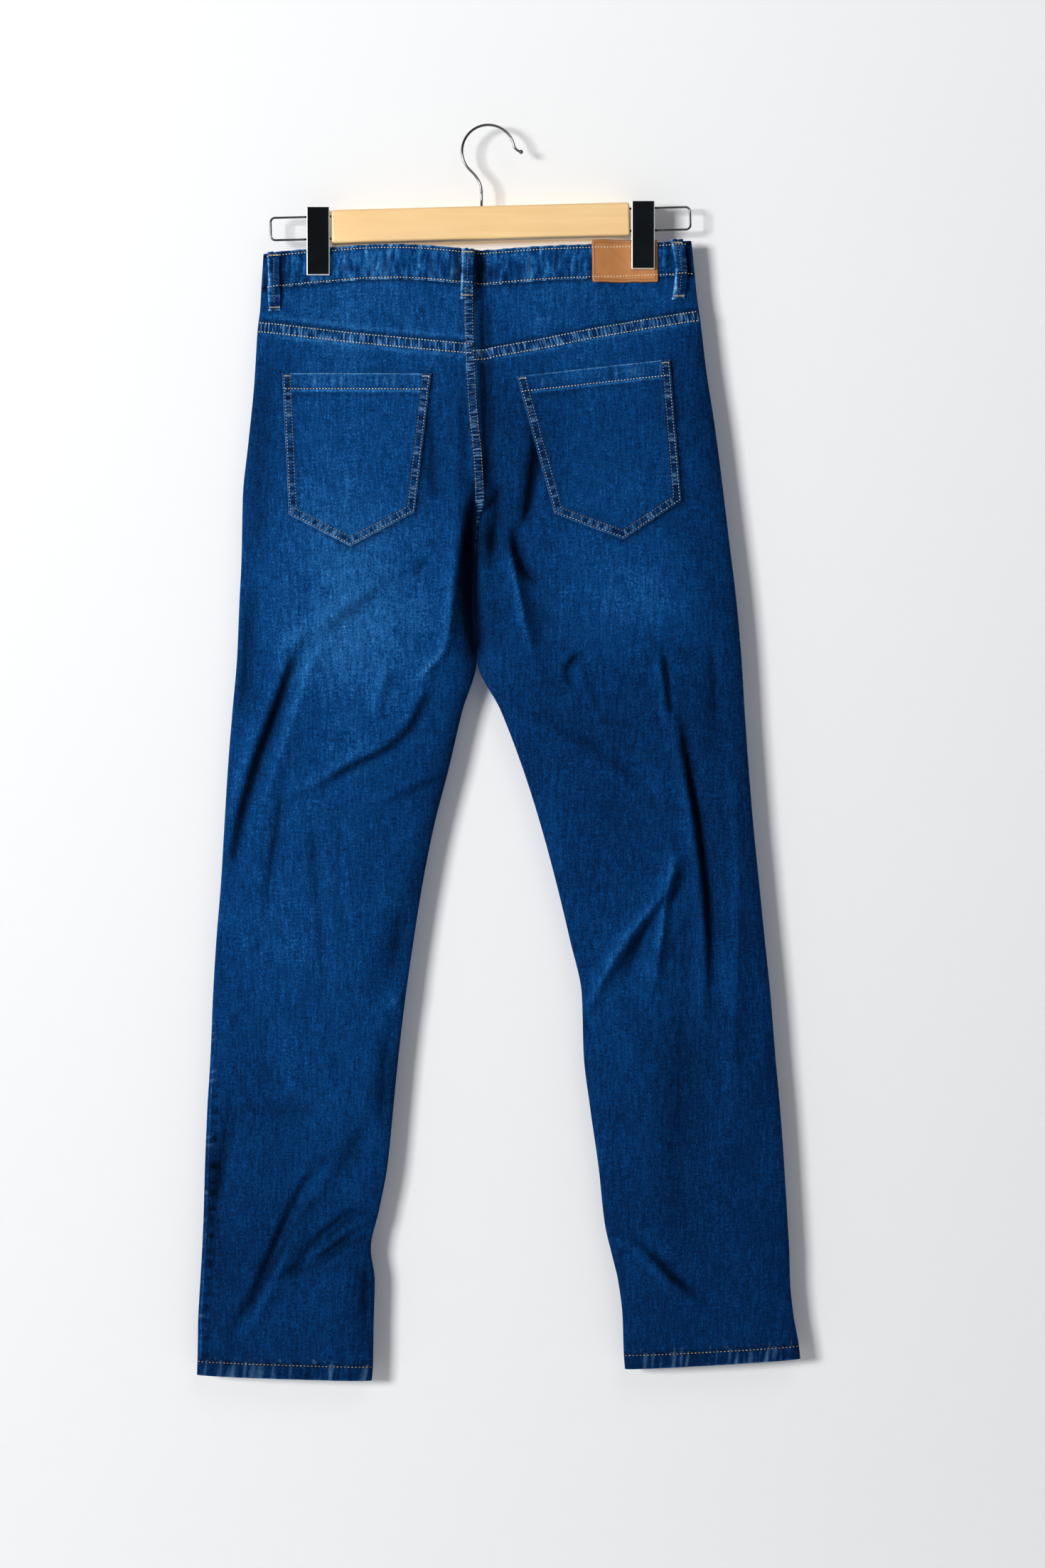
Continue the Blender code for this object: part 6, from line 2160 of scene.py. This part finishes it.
@dataclass
class Hanger:
    """Wooden bar with a wire hook, and a clip on a wire rail at each end."""

    shop: Workshop
    tilt: float = math.radians(1.5)
    centre: tuple[float, float] = (-6.8, -85.0)
    size: tuple[float, float, float] = (260.0, 13.0, 29.0)
    bow: float = 22.9
    wire: float = 1.1
    stem_x: float = -5.9
    rail_wire: float = 0.95
    rail_half: float = 9.75
    rail_reach: float = 183.0

    def turned(self, x: float, z: float) -> tuple[float, float, float]:
        """A place in the bar's frame, in the garment's frame."""
        cos, sin = math.cos(self.tilt), math.sin(self.tilt)
        return self.centre[0] + x * cos - z * sin, 0.0, self.centre[1] + x * sin + z * cos

    def build_hook(self) -> None:
        """The hook: a ball-ended bow, an S-shaped neck and a stem into the bar."""
        middle = -(self.bow - self.wire)
        last = math.radians(226)
        turns = np.radians(np.linspace(10, 226, 90))
        bow = [(self.bow * math.cos(a), 0.0, middle + self.bow * math.sin(a)) for a in turns]
        sx, sz = bow[0][0], bow[0][2]
        tip = [(sx + x, 0.0, sz - z) for x, z in ((6.0, 4.6), (4.6, 4.2), (2.8, 3.2), (1.2, 1.8))]
        end, heading = Vector(bow[-1]), Vector((-math.sin(last), 0, math.cos(last)))
        foot = Vector((self.stem_x, 0, -58.0))
        p1, p2 = end + heading * 9, foot + Vector((0, 0, 8))
        neck = []
        for t in np.linspace(0, 1, 26)[1:]:
            s = 1 - t
            neck.append(tuple(s**3 * end + 3 * s**2 * t * p1 + 3 * s * t**2 * p2 + t**3 * foot))
        route = [*tip, *bow, *neck, (self.stem_x, 0.0, -87.0)]
        piece = Wire("hook_wire", route, self.wire, 1.9).build(self.shop.finishes.steel, 24)
        self.shop.finish_piece(piece, ("hanger_hook",), "steel")

    def build_rails(self) -> None:
        """The U of wire at each end of the bar."""
        for direction, word in ((-1, "left"), (1, "right")):
            reach, flat, bend = self.rail_reach - 4, self.rail_half - 4, np.linspace(0, math.pi / 2, 14)
            upper = [(reach + 4 * math.sin(a), flat + 4 * math.cos(a)) for a in bend]
            lower = [(x, -z) for x, z in reversed(upper)]
            flat_route = [(113.0, self.rail_half), *upper, *lower, (113.0, -self.rail_half)]
            route = [self.turned(direction * x, z) for x, z in flat_route]
            piece = Wire(f"rail_wire_{word}", route, self.rail_wire).build(self.shop.finishes.steel)
            self.shop.finish_piece(piece, (f"clip_rail_{word}",), "steel")

    def build_bar(self) -> None:
        """The bar, with softened edges."""
        work = bmesh.new()
        bmesh.ops.create_cube(work, size=1.0)
        bmesh.ops.scale(work, verts=work.verts, vec=Vector(self.size) * MM)
        bmesh.ops.bevel(work, geom=work.edges[:], offset=2.4 * MM, segments=6, profile=0.5, affect="EDGES")
        bmesh.ops.rotate(work, verts=work.verts, cent=(0, 0, 0), matrix=Matrix.Rotation(-self.tilt, 3, "Y"))
        bmesh.ops.translate(work, verts=work.verts, vec=Vector((self.centre[0], 0, self.centre[1])) * MM)
        piece = from_work("wooden_bar", work, self.shop.finishes.wood)
        self.shop.finish_piece(piece, ("hanger_bar",), "wood")

    def dress_clips(self, frame: dict) -> None:
        """Gives the clips' solids their steel with a painted dark reflection."""
        places = {"left": (-0.1479, -0.1015), "right": (0.1348, -0.0963)}
        painted_reflection = {
            word: ClipFinish(f"clip_painted_reflection_{word}", centre).material() for word, centre in places.items()
        }
        for name in frame["nodes"]:
            if name.startswith("clip_") and "rail" not in name:
                for slot in bpy.data.objects[name].material_slots:
                    slot.material = painted_reflection[name.split("_")[1]]

    def build(self, frame: dict) -> None:
        """The whole hanger."""
        self.build_hook()
        self.build_rails()
        self.build_bar()
        self.dress_clips(frame)


@dataclass
class Studio:
    """Camera, pale wall and floor, and soft light."""

    middle: tuple[float, float] = (0.0298, -0.5735)
    height: float = 1.367
    distance: float = 2.6
    wall_y: float = 0.0204
    floor_z: float = -1.42

    def camera(self) -> None:
        """The camera, square on to the back of the jeans."""
        view = bpy.data.cameras.new("camera")
        view.sensor_fit, view.sensor_height = "VERTICAL", 36
        view.lens = 36 * self.distance / self.height
        view.clip_end = 50
        placed = put_in_scene("camera", view)
        placed.location = (self.middle[0], -self.distance, self.middle[1])
        placed.rotation_euler = (math.pi / 2, 0, 0)
        bpy.context.scene.camera = placed
        bpy.context.scene.view_settings.view_transform = "Standard"

    def light(
        self, name: str, place: tuple[float, float, float], size: float, power: float, lift: float = 0.0
    ) -> None:
        """A square light that looks at the jeans, or above them so that their foot gets less.

        Args:
            name: its name.
            place: where it hangs, in metres.
            size: its side.
            power: its power in watts.
            lift: how far above the jeans' middle it looks, in metres.
        """
        lamp = bpy.data.lights.new(name, "AREA")
        lamp.shape, lamp.size, lamp.energy = "SQUARE", size, power
        placed = put_in_scene(name, lamp)
        placed.location = place
        aim = Vector((self.middle[0], 0, self.middle[1] + lift)) - Vector(place)
        placed.rotation_euler = aim.to_track_quat("-Z", "Y").to_euler()

    def plane(
        self, name: str, corners: tuple[tuple[float, float, float], ...], finish: bpy.types.Material
    ) -> bpy.types.Object:
        """A flat stage piece."""
        mesh = bpy.data.meshes.new(name)
        mesh.from_pydata(corners, [], [(0, 1, 2, 3)])
        mesh.materials.append(finish)
        made = put_in_scene(name, mesh)
        return made

    def stage(self) -> None:
        """The wall, which is seen through from behind, and the floor."""
        paint = self.wall_paint()
        reach, floor = 4.0, self.floor_z
        edges = ((-reach, floor), (reach, floor), (reach, 3), (-reach, 3))
        wall = self.plane("wall", tuple((x, self.wall_y, z) for x, z in edges), paint)
        wall.visible_shadow = False
        edges = ((-reach, -reach), (reach, -reach), (reach, reach), (-reach, reach))
        boards = MattFinish("floor_paint", (0.62, 0.63, 0.64)).material()
        self.plane("floor", tuple((x, y, floor) for x, y in edges), boards)

    def wall_paint(self) -> bpy.types.Material:
        """Matt paint that is clear when seen from behind the wall."""
        paint = MattFinish("wall_paint", (0.79, 0.795, 0.80)).material()
        tree = paint.node_tree
        out = next(node for node in tree.nodes if node.type == "OUTPUT_MATERIAL")
        kinds = ("ShaderNodeBsdfTransparent", "ShaderNodeMixShader", "ShaderNodeNewGeometry")
        clear, mixed, side = (tree.nodes.new(kind) for kind in kinds)
        tree.links.new(side.outputs["Backfacing"], mixed.inputs[0])
        tree.links.new(tree.nodes["Principled BSDF"].outputs[0], mixed.inputs[1])
        tree.links.new(clear.outputs[0], mixed.inputs[2])
        tree.links.new(mixed.outputs[0], out.inputs["Surface"])
        return paint

    def world(self) -> None:
        """Pale surroundings for the camera and dimmer ones for light and gloss."""
        sky = bpy.data.worlds.new("studio")
        sky.use_nodes = True
        tree = sky.node_tree
        tree.nodes.clear()
        kinds = ("ShaderNodeLightPath", "ShaderNodeMixShader", "ShaderNodeOutputWorld")
        path, mixed, out = (tree.nodes.new(kind) for kind in kinds)
        dim, pale = (tree.nodes.new("ShaderNodeBackground") for _ in range(2))
        dim.inputs["Color"].default_value = (0.86, 0.87, 0.88, 1)
        dim.inputs["Strength"].default_value = 0.11
        pale.inputs["Color"].default_value = (0.83, 0.84, 0.85, 1)
        tree.links.new(path.outputs["Is Camera Ray"], mixed.inputs[0])
        tree.links.new(dim.outputs[0], mixed.inputs[1])
        tree.links.new(pale.outputs[0], mixed.inputs[2])
        tree.links.new(mixed.outputs[0], out.inputs["Surface"])
        bpy.context.scene.world = sky

    def build(self) -> None:
        """The whole studio."""
        self.camera()
        self.world()
        self.light("key", (-3.2, -4.1, 0.05), 1.4, 358, 4.2)
        self.light("top", (0.7, -2.3, 1.3), 1.3, 9)
        self.light("rear", (0.8, 2.2, 0.6), 1.5, 75)
        self.stage()


def main() -> None:
    """Dresses the frame."""
    logging.basicConfig(level=logging.INFO, format="%(name)s: %(message)s")
    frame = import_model()
    Studio().build()
    shop = Workshop(Form(), Finishes.mixed())
    for side in Side:
        Leg(shop, side).build()
    band = Waistband(shop)
    band.build()
    for side, outline in ((Side.LEFT, LEFT_POCKET), (Side.RIGHT, RIGHT_POCKET)):
        BackPocket(shop, side, outline).build()
    Fly(shop).build()
    seams = (
        FelledSeam(
            shop, "seam_yoke_left", BACK, ((-200.3, -175.9), (-112, -186.8), (-64, -191.6), (-13.5, -196.2)),
            4.9, 1,
        ),
        FelledSeam(
            shop, "seam_yoke_right", BACK, ((-13.0, -202.0), (45, -192), (92.4, -182.3), (183.6, -166.0)),
            4.9, 2,
        ),
        FelledSeam(
            shop, "seam_centre_back", BACK, ((-16.7, -143), (-16.7, -158.4), (-13.3, -245.2),
            (-8.7, -291.7), (-7.1, -330), (-9.5, -350), (-11, -368)), 3.9, 3, -326, 0.2, 0.66,
        ),
    )
    for seam in seams:
        seam.build()
    band.build_loops()
    Topstitching(shop, seams).build()
    Hanger(shop).build(frame)
    LOG.info("%d pieces", len(shop.pieces))


if __name__ == "__main__":
    main()
